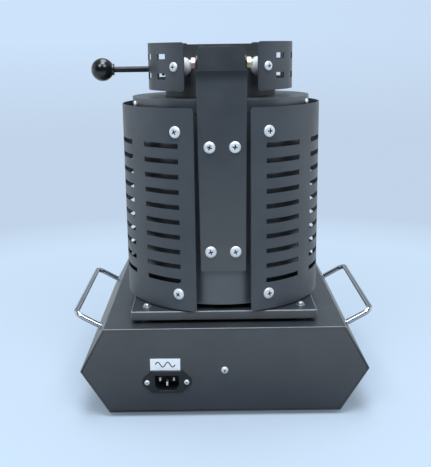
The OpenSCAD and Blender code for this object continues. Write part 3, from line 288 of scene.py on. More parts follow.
def powder_coat(name, dark, light, rough=(0.32, 0.42), gloss=0.8, index=1.65, shade_heights=None):
    """Fine slate powder coat with a little dust; painted shade makes it dark and dull between two heights.
    """
    f = Finish(name, specular=gloss)
    f.shader.inputs["IOR"].default_value = index
    cloud = f.spread(f.noise(scale=14, detail=4), 0, 1, start=0.35, end=0.65)
    body = f.tint(cloud, dark, light)
    dust = f.spread(f.noise(scale=60, detail=2), 0, 0.2, start=0.3, end=0.8)
    dust_and_painted_shade = f.tint(dust, body, shade(light, 1.35))
    if shade_heights:
        parts = f.add("ShaderNodeSeparateXYZ")
        f.link(f.place, parts.inputs["Vector"])
        height = parts.outputs["Z"]
        # Painted shade: darker and less glossy from the lower shade height upwards
        dust_and_painted_shade = f.tint(f.spread(height, 0, 1, *shade_heights), dust_and_painted_shade, shade(light, 0.6))
        painted_shade_gloss = f.spread(height, gloss, 0.4 * gloss, *shade_heights)
        f.link(painted_shade_gloss, f.shader.inputs["Specular IOR Level"])
    f.colour(dust_and_painted_shade)
    f.roughness(f.spread(f.noise(scale=45, detail=5), *rough))
    f.relief((f.noise(scale=700, detail=2), 0.00004), (f.noise(scale=1700, detail=1), 0.00001))
    return f.material


def bright_plate(name, tone, rough, metal=1.0):
    """Bright plated steel with fine handling marks."""
    f = Finish(name, metal=metal)
    cloud = f.spread(f.noise(scale=60, detail=4), 0, 1)
    f.colour(f.tint(cloud, tone, shade(tone, 0.86)))
    f.roughness(f.spread(f.noise(scale=220, detail=5), *rough))
    f.relief((f.noise(scale=1400, detail=3), 0.00002))
    return f.material


def zinc_plate(name, tone, rough=(0.32, 0.48)):
    """Dull zinc plating with faint streaks."""
    f = Finish(name, metal=0.9)
    streak = f.spread(f.noise(scale=90, detail=5, stretch=(1, 1, 0.2)), 0, 1)
    f.colour(f.tint(streak, tone, shade(tone, 0.72)))
    f.roughness(f.spread(f.noise(scale=300, detail=4), *rough))
    f.relief((f.noise(scale=1800, detail=3), 0.00004))
    return f.material


def porcelain(name, tone, stain):
    """White electrical porcelain with a thin glaze and a little soot."""
    f = Finish(name, coat=0.25)
    soot = f.spread(f.noise(scale=120, detail=6), 0, 0.5, start=0.5, end=0.8)
    f.colour(f.tint(soot, tone, stain))
    f.roughness(f.spread(f.noise(scale=200, detail=4), 0.16, 0.34))
    f.relief((f.noise(scale=260, detail=2), 0.00003))
    return f.material


def fired_clay(name, tone, stain):
    """Matt refractory with pits and a scorched tone in places."""
    f = Finish(name, specular=0.2)
    scorch = f.spread(f.noise(scale=45, detail=6), 0, 0.8, start=0.42, end=0.75)
    f.colour(f.tint(scorch, tone, stain))
    f.roughness(f.spread(f.noise(scale=150, detail=4), 0.78, 0.95))
    f.relief((f.noise(scale=700, detail=6), 0.0005), (f.noise(scale=90, detail=3), 0.0004))
    return f.material


def fibre_board(name, tone, stain):
    """Vacuum-formed ceramic fibre: soft, dry and stringy."""
    f = Finish(name, specular=0.1)
    browned = f.spread(f.noise(scale=600, detail=8, stretch=(1, 0.25, 1)), 0, 0.6, start=0.45, end=0.7)
    f.colour(f.tint(browned, tone, stain))
    f.roughness(f.spread(f.noise(scale=200, detail=4), 0.88, 1.0))
    strands = f.noise(scale=800, detail=8, stretch=(1, 0.25, 1))
    f.relief((strands, 0.0008), (f.noise(scale=120, detail=4), 0.0006))
    return f.material


def turned_graphite(name):
    """Machined graphite with turning rings and rubbed, shiny patches."""
    f = Finish(name, specular=0.55)
    rub = f.spread(f.noise(scale=35, detail=5), 0, 1, start=0.4, end=0.7)
    f.colour(f.tint(rub, (0.028, 0.028, 0.031), (0.060, 0.061, 0.066)))
    f.roughness(f.spread(f.noise(scale=70, detail=5), 0.36, 0.62))
    rings = f.noise(scale=40, detail=2, stretch=(0.05, 0.05, 60))
    f.relief((rings, 0.0002), (f.noise(scale=1500, detail=3), 0.00008))
    return f.material


def moulding(name, dark, light, rough=(0.38, 0.55), coat=0.0, specular=0.5):
    """Moulded plastic with a faint spark-eroded grain."""
    f = Finish(name, coat=coat, specular=specular)
    f.shader.inputs["Coat Roughness"].default_value = COAT_ROUGHNESS
    cloud = f.spread(f.noise(scale=40, detail=4), 0, 1)
    f.colour(f.tint(cloud, dark, light))
    f.roughness(f.spread(f.noise(scale=120, detail=4), *rough))
    f.relief((f.noise(scale=2200, detail=2), 0.00004))
    return f.material


def rubber(name):
    """Black rubber with a pale bloom in places."""
    f = Finish(name, specular=0.3)
    bloom = f.spread(f.noise(scale=150, detail=5), 0, 0.7, start=0.45, end=0.75)
    f.colour(f.tint(bloom, (0.017, 0.017, 0.018), (0.06, 0.06, 0.06)))
    f.roughness(f.spread(f.noise(scale=200, detail=3), 0.7, 0.9))
    f.relief((f.noise(scale=900, detail=4), 0.0001))
    return f.material


def blackened_steel(name):
    """Oil-blackened rod with a faint draw grain along its length."""
    f = Finish(name, metal=0.7)
    grain = f.spread(f.noise(scale=400, detail=4, stretch=(0.05, 1, 1)), 0, 1)
    f.colour(f.tint(grain, (0.016, 0.018, 0.020), (0.036, 0.038, 0.042)))
    f.roughness(f.spread(f.noise(scale=90, detail=4), 0.30, 0.48))
    f.relief((f.noise(scale=700, detail=3, stretch=(0.05, 1, 1)), 0.00005))
    return f.material


def oxidised_wire(name):
    """Element wire under a thin grey-brown scale."""
    f = Finish(name, metal=0.4)
    scale = f.spread(f.noise(scale=400, detail=5), 0, 1, start=0.4, end=0.65)
    f.colour(f.tint(scale, (0.10, 0.085, 0.075), (0.22, 0.19, 0.17)))
    f.roughness(f.spread(f.noise(scale=200, detail=4), 0.55, 0.8))
    f.relief((f.noise(scale=1500, detail=4), 0.00008))
    return f.material


def printed_label(name):
    """White sticker stock, a little greyed in places."""
    f = Finish(name, coat=0.1)
    age = f.spread(f.noise(scale=120, detail=4), 0, 0.6, start=0.5, end=0.75)
    f.colour(f.tint(age, (0.95, 0.96, 0.97), (0.80, 0.82, 0.84)))
    f.roughness(f.spread(f.noise(scale=300, detail=3), 0.35, 0.5))
    f.relief((f.noise(scale=1800, detail=3), 0.00003))
    return f.material


# Each paint's dark and light tone, its roughness, and where it differs its gloss, index and painted-shade
# heights
SATIN = (0.3, 0.42)
paint = powder_coat("slate_powder_coat", (0.0217, 0.0256, 0.0310), (0.0280, 0.0324, 0.0383))
# Painted highlight: a lighter coat on softened edges and folds
edge_highlight_paint = powder_coat("slate_powder_coat_edge", (0.072, 0.076, 0.083), (0.108, 0.112, 0.120), SATIN)
# Painted highlight: a still lighter coat on the hinge bracket's edges
bright_edge_highlight = powder_coat("slate_powder_coat_rubbed_edge", (0.15, 0.16, 0.17), (0.23, 0.24, 0.25), SATIN)
# Painted light and shade: the bracket's and cap's coat is painted lighter than the base coat, and darker
# from 0.333 m up
upright_paint = powder_coat("slate_powder_coat_upright", (0.0275, 0.0324, 0.0394),
                            (0.0351, 0.0412, 0.0490), shade_heights=(0.333, 0.341))
# Painted light: the drum's coat is painted lighter than the base coat, where it stands in shade behind the
# shields
drum_paint = powder_coat("slate_powder_coat_drum", (0.0430, 0.0500, 0.0600), (0.0550, 0.0635, 0.0750))
# Painted light: the shields' coat is painted lighter than the base coat
shield_paint = powder_coat("slate_powder_coat_shield", (0.0495, 0.0548, 0.0638),
                           (0.0630, 0.0700, 0.0806), (0.34, 0.44), gloss=0.5, index=1.45)
# Painted shade: the lid drum's coat is painted darker than the base coat
shade_paint = powder_coat("slate_powder_coat_dark_painted_shade", (0.0145, 0.0170, 0.0200),
                          (0.0200, 0.0230, 0.0265), (0.5, 0.65))
chrome = bright_plate("handle_chrome", (0.62, 0.65, 0.69), (0.08, 0.18))
screw_plate = bright_plate("screw_plating", (0.92, 0.94, 0.96), (0.38, 0.52), metal=0.5)
# Painted shade: a dark coat on the walls of the screws' cross recesses
recess_painted_shade = powder_coat("screw_recess_grime", (0.018, 0.019, 0.021), (0.036, 0.037, 0.040), (0.5, 0.7))
dull_zinc = zinc_plate("dull_zinc", (0.60, 0.62, 0.64))
pale_brass = zinc_plate("yellow_passivate", (0.66, 0.60, 0.38), (0.32, 0.46))
rosy_zinc = zinc_plate("rosy_passivate", (0.52, 0.38, 0.38), (0.34, 0.50))
glazed_white = porcelain("glazed_porcelain", (0.74, 0.745, 0.74), (0.48, 0.46, 0.42))
clay = fired_clay("fired_refractory", (0.72, 0.68, 0.60), (0.48, 0.42, 0.34))
board = fibre_board("ceramic_fibre_board", (0.84, 0.82, 0.77), (0.62, 0.57, 0.50))
graphite = turned_graphite("turned_graphite")
black_plastic = moulding("black_moulding", (0.008, 0.008, 0.009), (0.015, 0.016, 0.018))
inlet_black = moulding("inlet_moulding", (0.011, 0.012, 0.014), (0.017, 0.019, 0.022), SATIN)
ball_black = moulding("polished_black_ball", (0.006, 0.007, 0.008), (0.010, 0.011, 0.013),
                      (0.14, 0.24), coat=0.6, specular=0.25)
window_dark = moulding("smoked_window", (0.010, 0.006, 0.007), (0.016, 0.009, 0.010),
                       (0.10, 0.18), specular=0.25)
segment_dim = moulding("dim_green_segment", (0.050, 0.130, 0.060), (0.060, 0.155, 0.070), (0.4, 0.5))
segment_unlit = moulding("unlit_segment", (0.170, 0.050, 0.045), (0.200, 0.060, 0.052), (0.4, 0.5))
key_grey = moulding("grey_key", (0.13, 0.135, 0.145), (0.18, 0.185, 0.195))
key_mark = moulding("pale_key_mark", (0.62, 0.63, 0.64), (0.72, 0.73, 0.74))
rocker_red = moulding("red_rocker", (0.36, 0.012, 0.010), (0.48, 0.020, 0.015), (0.16, 0.28), coat=0.4)
relay_grey = moulding("relay_case", (0.62, 0.62, 0.60), (0.70, 0.70, 0.68))
foot_rubber = rubber("foot_rubber")
rod_steel = blackened_steel("blackened_rod")
wire = oxidised_wire("oxidised_element_wire")
sink_metal = zinc_plate("sink_aluminium", (0.72, 0.73, 0.74), (0.30, 0.42))
label_stock = printed_label("white_label_stock")
label_ink = moulding("label_ink", (0.02, 0.02, 0.022), (0.03, 0.03, 0.034))


# Hand tools

def let_go():
    """Leaves edit mode with nothing selected."""
    if bpy.context.object and bpy.context.object.mode != "OBJECT":
        bpy.ops.object.mode_set(mode="OBJECT")
    bpy.ops.object.select_all(action="DESELECT")


def take(piece):
    """Selects one piece alone and makes it the active one."""
    let_go()
    piece.select_set(True)
    bpy.context.view_layer.objects.active = piece


def apply_modifier(piece, kind, **settings):
    """Gives a piece one modifier and makes it final."""
    take(piece)
    modifier = piece.modifiers.new(kind.lower(), kind)
    for key, value in settings.items():
        setattr(modifier, key, value)
    bpy.ops.object.modifier_apply(modifier=modifier.name)


def shade_round(turn):
    """Shades the taken piece as one curve wherever its faces meet at less than this turn."""
    bpy.ops.object.shade_smooth_by_angle(angle=math.radians(turn))


def soften(piece, width, corner=SHEET_CORNER, segments=2, edge_slot=SAME_SLOT):
    """Rounds a piece's sharp edges and smooths its curved faces, with flat faces left truly flat."""
    apply_modifier(piece, "BEVEL", width=width, segments=segments, limit_method="ANGLE",
                   angle_limit=math.radians(corner), use_clamp_overlap=True, material=edge_slot,
                   harden_normals=False)
    take(piece)
    shade_round(SOFTENED_TURN)
    apply_modifier(piece, "WEIGHTED_NORMAL", mode="FACE_AREA", weight=50, keep_sharp=True)


def roll(piece):
    """Shades the walls of a sheet rolled round the furnace's axis as the true cylinders they are."""
    standing = 0.985
    mesh = piece.data
    bends = [corner.vector.copy() for corner in mesh.corner_normals]
    for polygon in mesh.polygons:
        middle = Vector((polygon.center.x, polygon.center.y, 0)).normalized()
        side = polygon.normal.dot(middle)
        if abs(side) > standing:
            for corner in polygon.loop_indices:
                spot = mesh.vertices[mesh.loops[corner].vertex_index].co
                bends[corner] = Vector((spot.x, spot.y, 0)).normalized() * math.copysign(1, side)
    mesh.normals_split_custom_set(bends)


def round_fold(piece, width, on_fold):
    """Gives the edges that lie on a fold a true bend in place of a sharp corner, in the edge slot's painted
    highlight.
    """
    take(piece)
    bpy.ops.object.mode_set(mode="EDIT")
    bpy.ops.mesh.select_mode(type="EDGE")
    bpy.ops.mesh.select_all(action="DESELECT")
    bpy.ops.mesh.edges_select_sharp(sharpness=math.radians(FOLD_CORNER))
    bpy.ops.object.mode_set(mode="OBJECT")
    points = piece.data.vertices
    for edge in piece.data.edges:
        edge.select = edge.select and all(on_fold(points[end].co) for end in edge.vertices)
    bpy.ops.object.mode_set(mode="EDIT")
    bpy.ops.mesh.bevel(offset=width, segments=4, affect="EDGES", clamp_overlap=True, material=EDGE_SLOT)
    bpy.ops.object.mode_set(mode="OBJECT")


def settle(piece, place):
    """Puts a piece's place into its mesh, so that its object sits at the origin."""
    take(piece)
    piece.data.transform(place)
    bpy.ops.object.transform_apply(location=True, rotation=True, scale=True)
    return piece


def finish_with(piece, *materials):
    """Gives a piece these finishes and no others."""
    piece.data.materials.clear()
    for material in materials:
        piece.data.materials.append(material)
    return piece


def join(pieces, name):
    """Makes one piece of several."""
    take(pieces[0])
    for piece in pieces:
        piece.select_set(True)
    if len(pieces) > 1:
        bpy.ops.object.join()
    joined = bpy.context.object
    joined.name = name
    joined.data.name = name
    return joined


def stands_for(piece, node, hides=True):
    """The piece moves with a solid's body and, unless told not to, hides the solid."""
    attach(piece, body_of(nodes[node])[0])
    if hides:
        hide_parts(node)
    return piece


def outward(turn, radius, height):
    """Place on the round body: turn in degrees from the rear towards +X, with Z pointing outwards."""
    a = math.radians(turn)
    out = Vector((math.sin(a), math.cos(a), 0))
    side = Vector((math.cos(a), -math.sin(a), 0))
    up = out.cross(side)
    turn_matrix = Matrix((side, up, out)).transposed().to_4x4()
    return Matrix.Translation(out * radius + Vector((0, 0, height))) @ turn_matrix


def facing_rear(x, y, z):
    """Place on a wall that faces the rear, with Z pointing to the rear and Y up."""
    turn = Matrix(((-1, 0, 0), (0, 0, 1), (0, 1, 0))).to_4x4()
    return Matrix.Translation((x, y, z)) @ turn


def facing_front(x, y, z):
    """Place on a wall that faces the front, with Z pointing to the front and Y up."""
    turn = Matrix(((1, 0, 0), (0, 0, -1), (0, 1, 0))).to_4x4()
    return Matrix.Translation((x, y, z)) @ turn


# Folded, pressed and turned pieces that keep their solid's form, with softened edges

def refine(node, edge, *materials, fold=None, rolled=False):
    """A merged copy of a solid with softened edges; a second material, if given, goes on them as a painted
    highlight.
    """
    merge_gap = 2e-6
    piece = bpy.data.objects.new(node + "_finished", nodes[node].data.copy())
    scene.collection.objects.link(piece)
    take(piece)
    finish_with(piece, *materials)
    for polygon in piece.data.polygons:
        polygon.material_index = 0
    if piece.data.has_custom_normals:
        bpy.ops.mesh.customdata_custom_splitnormals_clear()
    bpy.ops.object.mode_set(mode="EDIT")
    bpy.ops.mesh.select_all(action="SELECT")
    bpy.ops.mesh.remove_doubles(threshold=merge_gap)
    bpy.ops.mesh.dissolve_limited(angle_limit=math.radians(FLAT_TURN))
    bpy.ops.object.mode_set(mode="OBJECT")
    if fold:
        round_fold(piece, *fold)
    if edge:
        soften(piece, edge, edge_slot=EDGE_SLOT if len(materials) > 1 else SAME_SLOT)
    else:
        shade_round(WIRE_TURN)
    if rolled:
        roll(piece)
    return stands_for(piece, node)


def on_base_rim(spot):
    """On the front or rear edge of the base's flat top."""
    inside = BASE_FRONT_Y + HAIR < spot.y < BASE_REAR_Y - HAIR
    return spot.z > BASE_TOP_Z - HAIR and not inside


def on_tray_fold(spot):
    """On the outer edge of the tray's top, where its sheet turns down."""
    outer = max(abs(spot.x), abs(spot.y)) > TRAY_HALF - HAIR
    return spot.z > TRAY_TOP_Z - HAIR and outer


# Each solid with the width of its soft edges in metres; a fold has a wider bend of its own
refine("base_shell", 0.0005, paint, edge_highlight_paint, fold=(0.0012, on_base_rim))
refine("tray", 0.0004, paint, edge_highlight_paint, fold=(0.0014, on_tray_fold))
refine("hinge_bracket", 0.0006, upright_paint, bright_edge_highlight)
refine("drum_cap", 0.0006, upright_paint, edge_highlight_paint, rolled=True)
for sheet_node in ("shield_left", "shield_right", "lid_shield_left", "lid_shield_right"):
    refine(sheet_node, 0.00045, shield_paint, edge_highlight_paint, rolled=True)
for sheet_node in ("front_panel", "rear_panel", "lid_hinge_arm"):
    refine(sheet_node, 0.0003, paint)
refine("drum", 0.0003, drum_paint, rolled=True)
refine("lid_drum", 0.0004, shade_paint, rolled=True)
for zinc_node in ("panel_bracket", "tray_spacers", "drum_spacers", "hinge_pin"):
    refine(zinc_node, 0.0003, dull_zinc)
refine("inlet_pins", 0.0006, screw_plate)
for board_node in ("wall_insulation", "floor_insulation", "lid_insulation"):
    refine(board_node, 0.0005, board)
for clay_node in ("muffle", "mouth_collar", "crucible_stand", "thermocouple"):
    refine(clay_node, 0.0004, clay)
refine("power_inlet", 0.0004, inlet_black)
for black_node in ("temperature_controller", "switch_frame"):
    refine(black_node, 0.0004, black_plastic)
refine("crucible", 0.0005, graphite)
refine("relay_heat_sink", 0.0003, sink_metal)
refine("solid_state_relay", 0.0005, relay_grey)
refine("terminal_block", 0.0005, glazed_white)
refine("lead_bushes", 0.0004, glazed_white)
refine("element_leads", 0, wire)
coil = refine("heating_coil", 0, wire)
apply_modifier(coil, "SUBSURF", levels=1)
refine("controller_window", 0.0003, window_dark)
refine("switch_rocker", 0.0006, rocker_red)


# Turned pieces

EDGE_SHARE = 0.012


def turned(profile, sides=48):
    """A turned piece along Z, drawn out from a disc through pairs of radius and height."""
    let_go()
    radius, height = profile[0]
    bpy.ops.mesh.primitive_circle_add(vertices=sides, radius=radius, fill_type="NGON",
                                      location=(0, 0, height))
    piece = bpy.context.object
    bpy.ops.object.transform_apply(location=True)
    bpy.ops.object.mode_set(mode="EDIT")
    bpy.ops.mesh.select_mode(type="FACE")
    bpy.ops.mesh.select_all(action="SELECT")
    for next_radius, next_height in profile[1:]:
        bpy.ops.mesh.extrude_region_move(TRANSFORM_OT_translate={"value": (0, 0, next_height - height)})
        grow = next_radius / radius
        bpy.ops.transform.resize(value=(grow, grow, 1), center_override=(0, 0, next_height))
        radius, height = next_radius, next_height
    bpy.ops.mesh.select_all(action="SELECT")
    bpy.ops.mesh.normals_make_consistent(inside=False)
    bpy.ops.object.mode_set(mode="OBJECT")
    return piece


def dome(radius, low, high, crown=0.25, steps=6):
    """Profile of a dome with a flat crown, from its rim up."""
    leans = [math.pi / 2 * step / steps for step in range(1, steps + 1)]
    return [(radius * (crown + (1 - crown) * math.cos(a)), low + (high - low) * math.sin(a)) for a in leans]


def shoulder(radius, edge, height, upwards):
    """Profile of a rounded shoulder from a flat end to the side, or the other way round."""
    steps = 4
    leans = [math.pi / 2 * step / steps for step in range(steps + 1)]
    points = [(radius - edge + edge * math.sin(a), height + edge * (1 - math.cos(a))) for a in leans]
    if upwards:
        return points
    return [(r, 2 * height - z) for r, z in reversed(points)]


def bored(piece, radius, low, high, sides=32):
    """Bores a clear hole along Z."""
    let_go()
    bpy.ops.mesh.primitive_cylinder_add(vertices=sides, radius=radius, depth=high - low,
                                        location=(0, 0, (low + high) / 2))
    drill = bpy.context.object
    apply_modifier(piece, "BOOLEAN", object=drill, operation="DIFFERENCE", solver="EXACT")
    bpy.data.objects.remove(drill)
    return piece


def copies_of(piece, places, shuffle=True):
    """Copies of one piece at several places, each with its own mesh and turned its own way."""
    copies = []
    for place in places:
        copy = piece.copy()
        copy.data = piece.data.copy()
        scene.collection.objects.link(copy)
        turn = Matrix.Rotation(screw_dice.uniform(0, math.pi) if shuffle else 0, 4, "Z")
        copies.append(settle(copy, place @ turn))
    bpy.data.objects.remove(piece)
    return copies


def block(width, height, thick, middle):
    """A plain block of stock round the Z axis, with its middle at a height."""
    let_go()
    bpy.ops.mesh.primitive_cube_add(size=1, location=(0, 0, middle))
    stock = bpy.context.object
    stock.scale = (width, height, thick)
    bpy.ops.object.transform_apply(location=True, rotation=True, scale=True)
    return stock


def cut_cross(screw, head_d, head_h):
    """Cuts a tapered cross recess into a screw's head, its walls painted dark as painted shade."""
    arm_l, arm_w, depth, taper = head_d * 0.26, head_d * 0.064, head_h * 0.8, 0.5
    above = depth * 0.2
    cutters = []
    for turn in (0, math.pi / 2):
        cutter = block(2 * arm_l, 2 * arm_w, depth + 2 * above, head_h - depth / 2 + above)
        settle(cutter, Matrix.Rotation(turn, 4, "Z"))
        bottom = min(v.co.z for v in cutter.data.vertices)
        for vertex in cutter.data.vertices:
            if vertex.co.z < bottom + HAIR:
                vertex.co.x *= taper
                vertex.co.y *= taper
        cutters.append(finish_with(cutter, recess_painted_shade))
    for cutter in cutters:
        apply_modifier(screw, "BOOLEAN", object=cutter, operation="DIFFERENCE", solver="EXACT",
                       material_mode="TRANSFER")
        bpy.data.objects.remove(cutter)


def cross_screw(head_d, head_h, shank_d, shank_l):
    """One cross-head screw along Z: a domed head over zero with a stepped rim, and its shank."""
    rim_h = head_h * 0.28
    shank = [(shank_d / 2, -shank_l), (shank_d / 2, 0), (head_d / 2, 0), (head_d / 2, rim_h)]
    screw = turned(shank + dome(head_d / 2, rim_h, head_h))
    finish_with(screw, screw_plate, recess_painted_shade)
    cut_cross(screw, head_d, head_h)
    soften(screw, head_d * EDGE_SHARE, TURNED_CORNER)
    return screw


def domed_bolt(head_d, head_h, shank_d, shank_l):
    """One plain domed bolt along Z on a thin washer."""
    washer_r, washer_h, cap_r = head_d * 0.5, head_h * 0.2, head_d * 0.36
    shank = [(shank_d / 2, -shank_l), (shank_d / 2, 0), (washer_r, 0), (washer_r, washer_h),
             (cap_r, washer_h), (cap_r, washer_h * 2)]
    bolt = turned(shank + dome(cap_r, washer_h * 2, head_h, 0.2))
    finish_with(bolt, dull_zinc)
    soften(bolt, head_d * EDGE_SHARE, TURNED_CORNER)
    return bolt


def hex_nut(across, height, bore_d, finish):
    """One hexagon nut along Z with its corners turned down on both faces."""
    corner_r, turn_down, over = across / math.sqrt(3), across * 0.07, 0.00001
    face_r = corner_r - turn_down * 1.7
    nut = turned([(corner_r, 0), (corner_r, height)], 6)
    blank = turned([(face_r, -over), (corner_r, turn_down),
                    (corner_r, height - turn_down), (face_r, height + over)])
    apply_modifier(nut, "BOOLEAN", object=blank, operation="INTERSECT", solver="EXACT")
    bpy.data.objects.remove(blank)
    bored(nut, bore_d / 2, -height, 2 * height)
    finish_with(nut, finish)
    soften(nut, across * EDGE_SHARE, NUT_CORNER)
    return nut


def fit(node, pieces):
    """The pieces together stand for a node."""
    return stands_for(join(pieces, node + "_finished"), node)


def four_ways(turn):
    """The same turn from the rear and from the front, to either side."""
    return (turn, 180 - turn, 180 + turn, -turn)


shield_places = [(turn, z) for turn in four_ways(SHIELD_SCREW_TURN) for z in SHIELD_SCREW_Z]
lid_places = [(turn, LID_MID_Z) for turn in four_ways(LID_SCREW_TURN)]
strap_places = [(x, z) for x in (-STRAP_SCREW_X, STRAP_SCREW_X) for z in STRAP_SCREW_Z]
for screw_node, size, places in (
        ("shield_screws", SHIELD_SCREW, [outward(t, SHIELD_R, z) for t, z in shield_places]),
        ("lid_screws", LID_SCREW, [outward(t, LID_SHIELD_R, z) for t, z in lid_places]),
        ("cap_screws", CAP_SCREW, [outward(t, CAP_R, CAP_SCREW_Z) for t in CAP_SCREW_TURNS]),
        ("bracket_screws", STRAP_SCREW, [facing_rear(x, STRAP_Y, z) for x, z in strap_places]),
        ("rear_panel_screw", PANEL_SCREW, [facing_rear(0, REAR_FACE_Y, PANEL_MID_Z)]),
        ("inlet_screws", INLET_SCREW,
         [facing_rear(INLET_X + side * INLET_SCREW_X, INLET_FACE_Y, INLET_Z) for side in (-1, 1)])):
    fit(screw_node, copies_of(cross_screw(*size), places))


def corners(half, z, flip=False):
    """Places at the four corners of a square, facing up or down."""
    turn = Matrix.Rotation(math.pi if flip else 0, 4, "X")
    return [Matrix.Translation((sx * half, sy * half, z)) @ turn for sx in (-1, 1) for sy in (-1, 1)]


tray_nut_z = BASE_TOP_Z - SHEET - NUT_H
drum_nut_z = DRUM_LOW_Z + SHIELD_T
tray_bolt = domed_bolt(BOLT_HEAD, TRAY_BOLT_H, THREAD, TRAY_TOP_Z - tray_nut_z + TRAY_BOLT_END)
fit("tray_bolts", copies_of(tray_bolt, corners(TRAY_BOLT, TRAY_TOP_Z))
    + copies_of(hex_nut(*PLAIN_NUT, dull_zinc), corners(TRAY_BOLT, tray_nut_z)))
drum_bolt_l = drum_nut_z + NUT_H - TRAY_LOW_Z + DRUM_BOLT_END
drum_bolt = cross_screw(BOLT_HEAD, DRUM_BOLT_H, THREAD, drum_bolt_l)
fit("drum_bolts", copies_of(drum_bolt, corners(DRUM_BOLT, TRAY_LOW_Z, flip=True))
    + copies_of(hex_nut(*PLAIN_NUT, dull_zinc), corners(DRUM_BOLT, drum_nut_z)))


def ceramic_spacer(length):
    """One porcelain stand-off along Z with rounded shoulders, a shallow waist and a clear bore."""
    radius, waist = SPACER_D / 2, 0.0004
    low, high = length * 0.36, length * 0.64
    profile = shoulder(radius, SPACER_EDGE, 0, upwards=True)
    profile += [(radius, low - waist), (radius - waist, low), (radius - waist, high), (radius, high + waist)]
    profile += shoulder(radius, SPACER_EDGE, length, upwards=False)
    spacer = bored(turned(profile), SPACER_BORE / 2, -length, 2 * length)
    finish_with(spacer, glazed_white)
    soften(spacer, 0.00015, TURNED_CORNER)
    return spacer


def spacer_end(shield_in_r):
    """Radius at which a spacer's flat end clears the inside of a curved shield."""
    return math.sqrt(shield_in_r ** 2 - (SPACER_D / 2 - SPACER_EDGE) ** 2) - SEAT_GAP


for spacer_node, base_r, outer_r, spots in (
        ("shield_spacers", DRUM_R + SEAT_GAP, SHIELD_R, shield_places),
        ("lid_spacers", LID_R + SEAT_GAP, LID_SHIELD_R, lid_places)):
    spacer = ceramic_spacer(spacer_end(outer_r - SHIELD_T) - base_r)
    fit(spacer_node, copies_of(spacer, [outward(t, base_r, z) for t, z in spots]))


def foot():
    """One rubber foot with a rounded sole, a dimple and a push-in stem."""
    stem_r, head_r, neck, head_h = 0.003, 0.0042, 0.00665, 0.0016
    sole = [(0.0032, 0.0012), (0.0040, 0.0010), (0.0044, 0.0002), (0.0052, 0), (0.0078, 0), (0.0084, 0.0004)]
    side = [(0.0087, 0.0010), (0.0104, 0.0046), (0.0100, BASE_LOW_Z), (stem_r, BASE_LOW_Z)]
    stem = [(stem_r, neck), (head_r, neck), (head_r, neck + 0.0002), (stem_r, neck + head_h)]
    piece = turned(sole + side + stem)
    finish_with(piece, foot_rubber)
    soften(piece, 0.00015, TURNED_CORNER)
    return piece


foot_places = [Matrix.Translation((side * FOOT_X, y, 0)) for side in (-1, 1) for y in FOOT_YS]
fit("feet", copies_of(foot(), foot_places))


# Hinge pin's nuts, the knob and its rod

def along_x(x, y, z, side=1):
    """Place whose Z points along +X, or along -X."""
    return Matrix.Translation((x, y, z)) @ Matrix.Rotation(side * math.pi / 2, 4, "Y")


hinge_nut_x = EAR_X + SLIDE_GAP
rosy_nut = hex_nut(*PIN_NUT, rosy_zinc)
pale_nut = hex_nut(*PIN_NUT, pale_brass)
fit("hinge_nuts", copies_of(rosy_nut, [along_x(hinge_nut_x, PIN_Y, PIN_Z)], shuffle=False)
    + copies_of(pale_nut, [along_x(-hinge_nut_x, PIN_Y, PIN_Z, -1)], shuffle=False))


def ball():
    """Polished ball with a short boss and a bore for its rod, along Z."""
    ball_r, boss_r, boss_h, edge, bore_end, steps = KNOB_D / 2, 0.006, 0.0006, 0.0005, -0.00585, 18
    boss_top = -math.sqrt(ball_r ** 2 - boss_r ** 2)
    first = math.asin(boss_top / ball_r)
    leans = [first + (math.pi / 2 - first) * step / steps for step in range(1, steps)]
    round_part = [(ball_r * math.cos(a), ball_r * math.sin(a)) for a in leans]
    boss = [(boss_r - edge, -ball_r - boss_h), (boss_r, -ball_r - boss_h + edge), (boss_r, boss_top)]
    piece = turned(boss + round_part + [(0.0002, ball_r)], 64)
    bored(piece, ROD_D / 2 + SLIDE_GAP, -0.02, bore_end)
    finish_with(piece, ball_black)
    take(piece)
    shade_round(ROUND_TURN)
    return piece


def rod():
    """Blackened rod with a round flange against the lid's wall, along Z from the axis."""
    r, flange_r, flange_h, edge = ROD_D / 2, 0.007, 0.003, 0.0004
    start, end, near = LID_R - 0.0014, KNOB_X - KNOB_D / 4, LID_R + 0.0005
    far = near + flange_h
    piece = turned([(r, start), (r, near), (flange_r - edge, near), (flange_r, near + edge),
                    (flange_r, far - edge), (flange_r - edge, far),
                    (r, far), (r, end - edge), (r - edge, end)])
    finish_with(piece, rod_steel)
    soften(piece, 0.0002, TURNED_CORNER)
    return piece


fit("ball_knob", copies_of(ball(), [along_x(KNOB_X, 0, ROD_Z)], shuffle=False))
fit("knob_rod", copies_of(rod(), [along_x(0, 0, ROD_Z)], shuffle=False))


# Handles

def on_slope(side, along, lift=0.0):
    """Place on the upper sloping face of the base, with Z pointing out of it."""
    slope = Matrix.Translation((side * SLOPE_X, BASE_MID_Y, SLOPE_Z))
    slope = slope @ Matrix.Rotation(side * SLOPE_TILT, 4, "Y")
    return slope @ Matrix.Translation((0, along, lift))


def bent_bar(points, radius, name):
    """A round bar along a line of points."""
    let_go()
    line = bpy.data.curves.new(name, "CURVE")
    line.dimensions = "3D"
    line.bevel_depth = radius
    line.bevel_resolution = 6
    line.use_fill_caps = True
    spline = line.splines.new("POLY")
    spline.points.add(len(points) - 1)
    for spot, point in zip(spline.points, points):
        spot.co = (*point, 1)
    bar = bpy.data.objects.new(name, line)
    scene.collection.objects.link(bar)
    take(bar)
    bpy.ops.object.convert(target="MESH")
    bar = bpy.context.object
    shade_round(ROUND_TURN)
    return bar


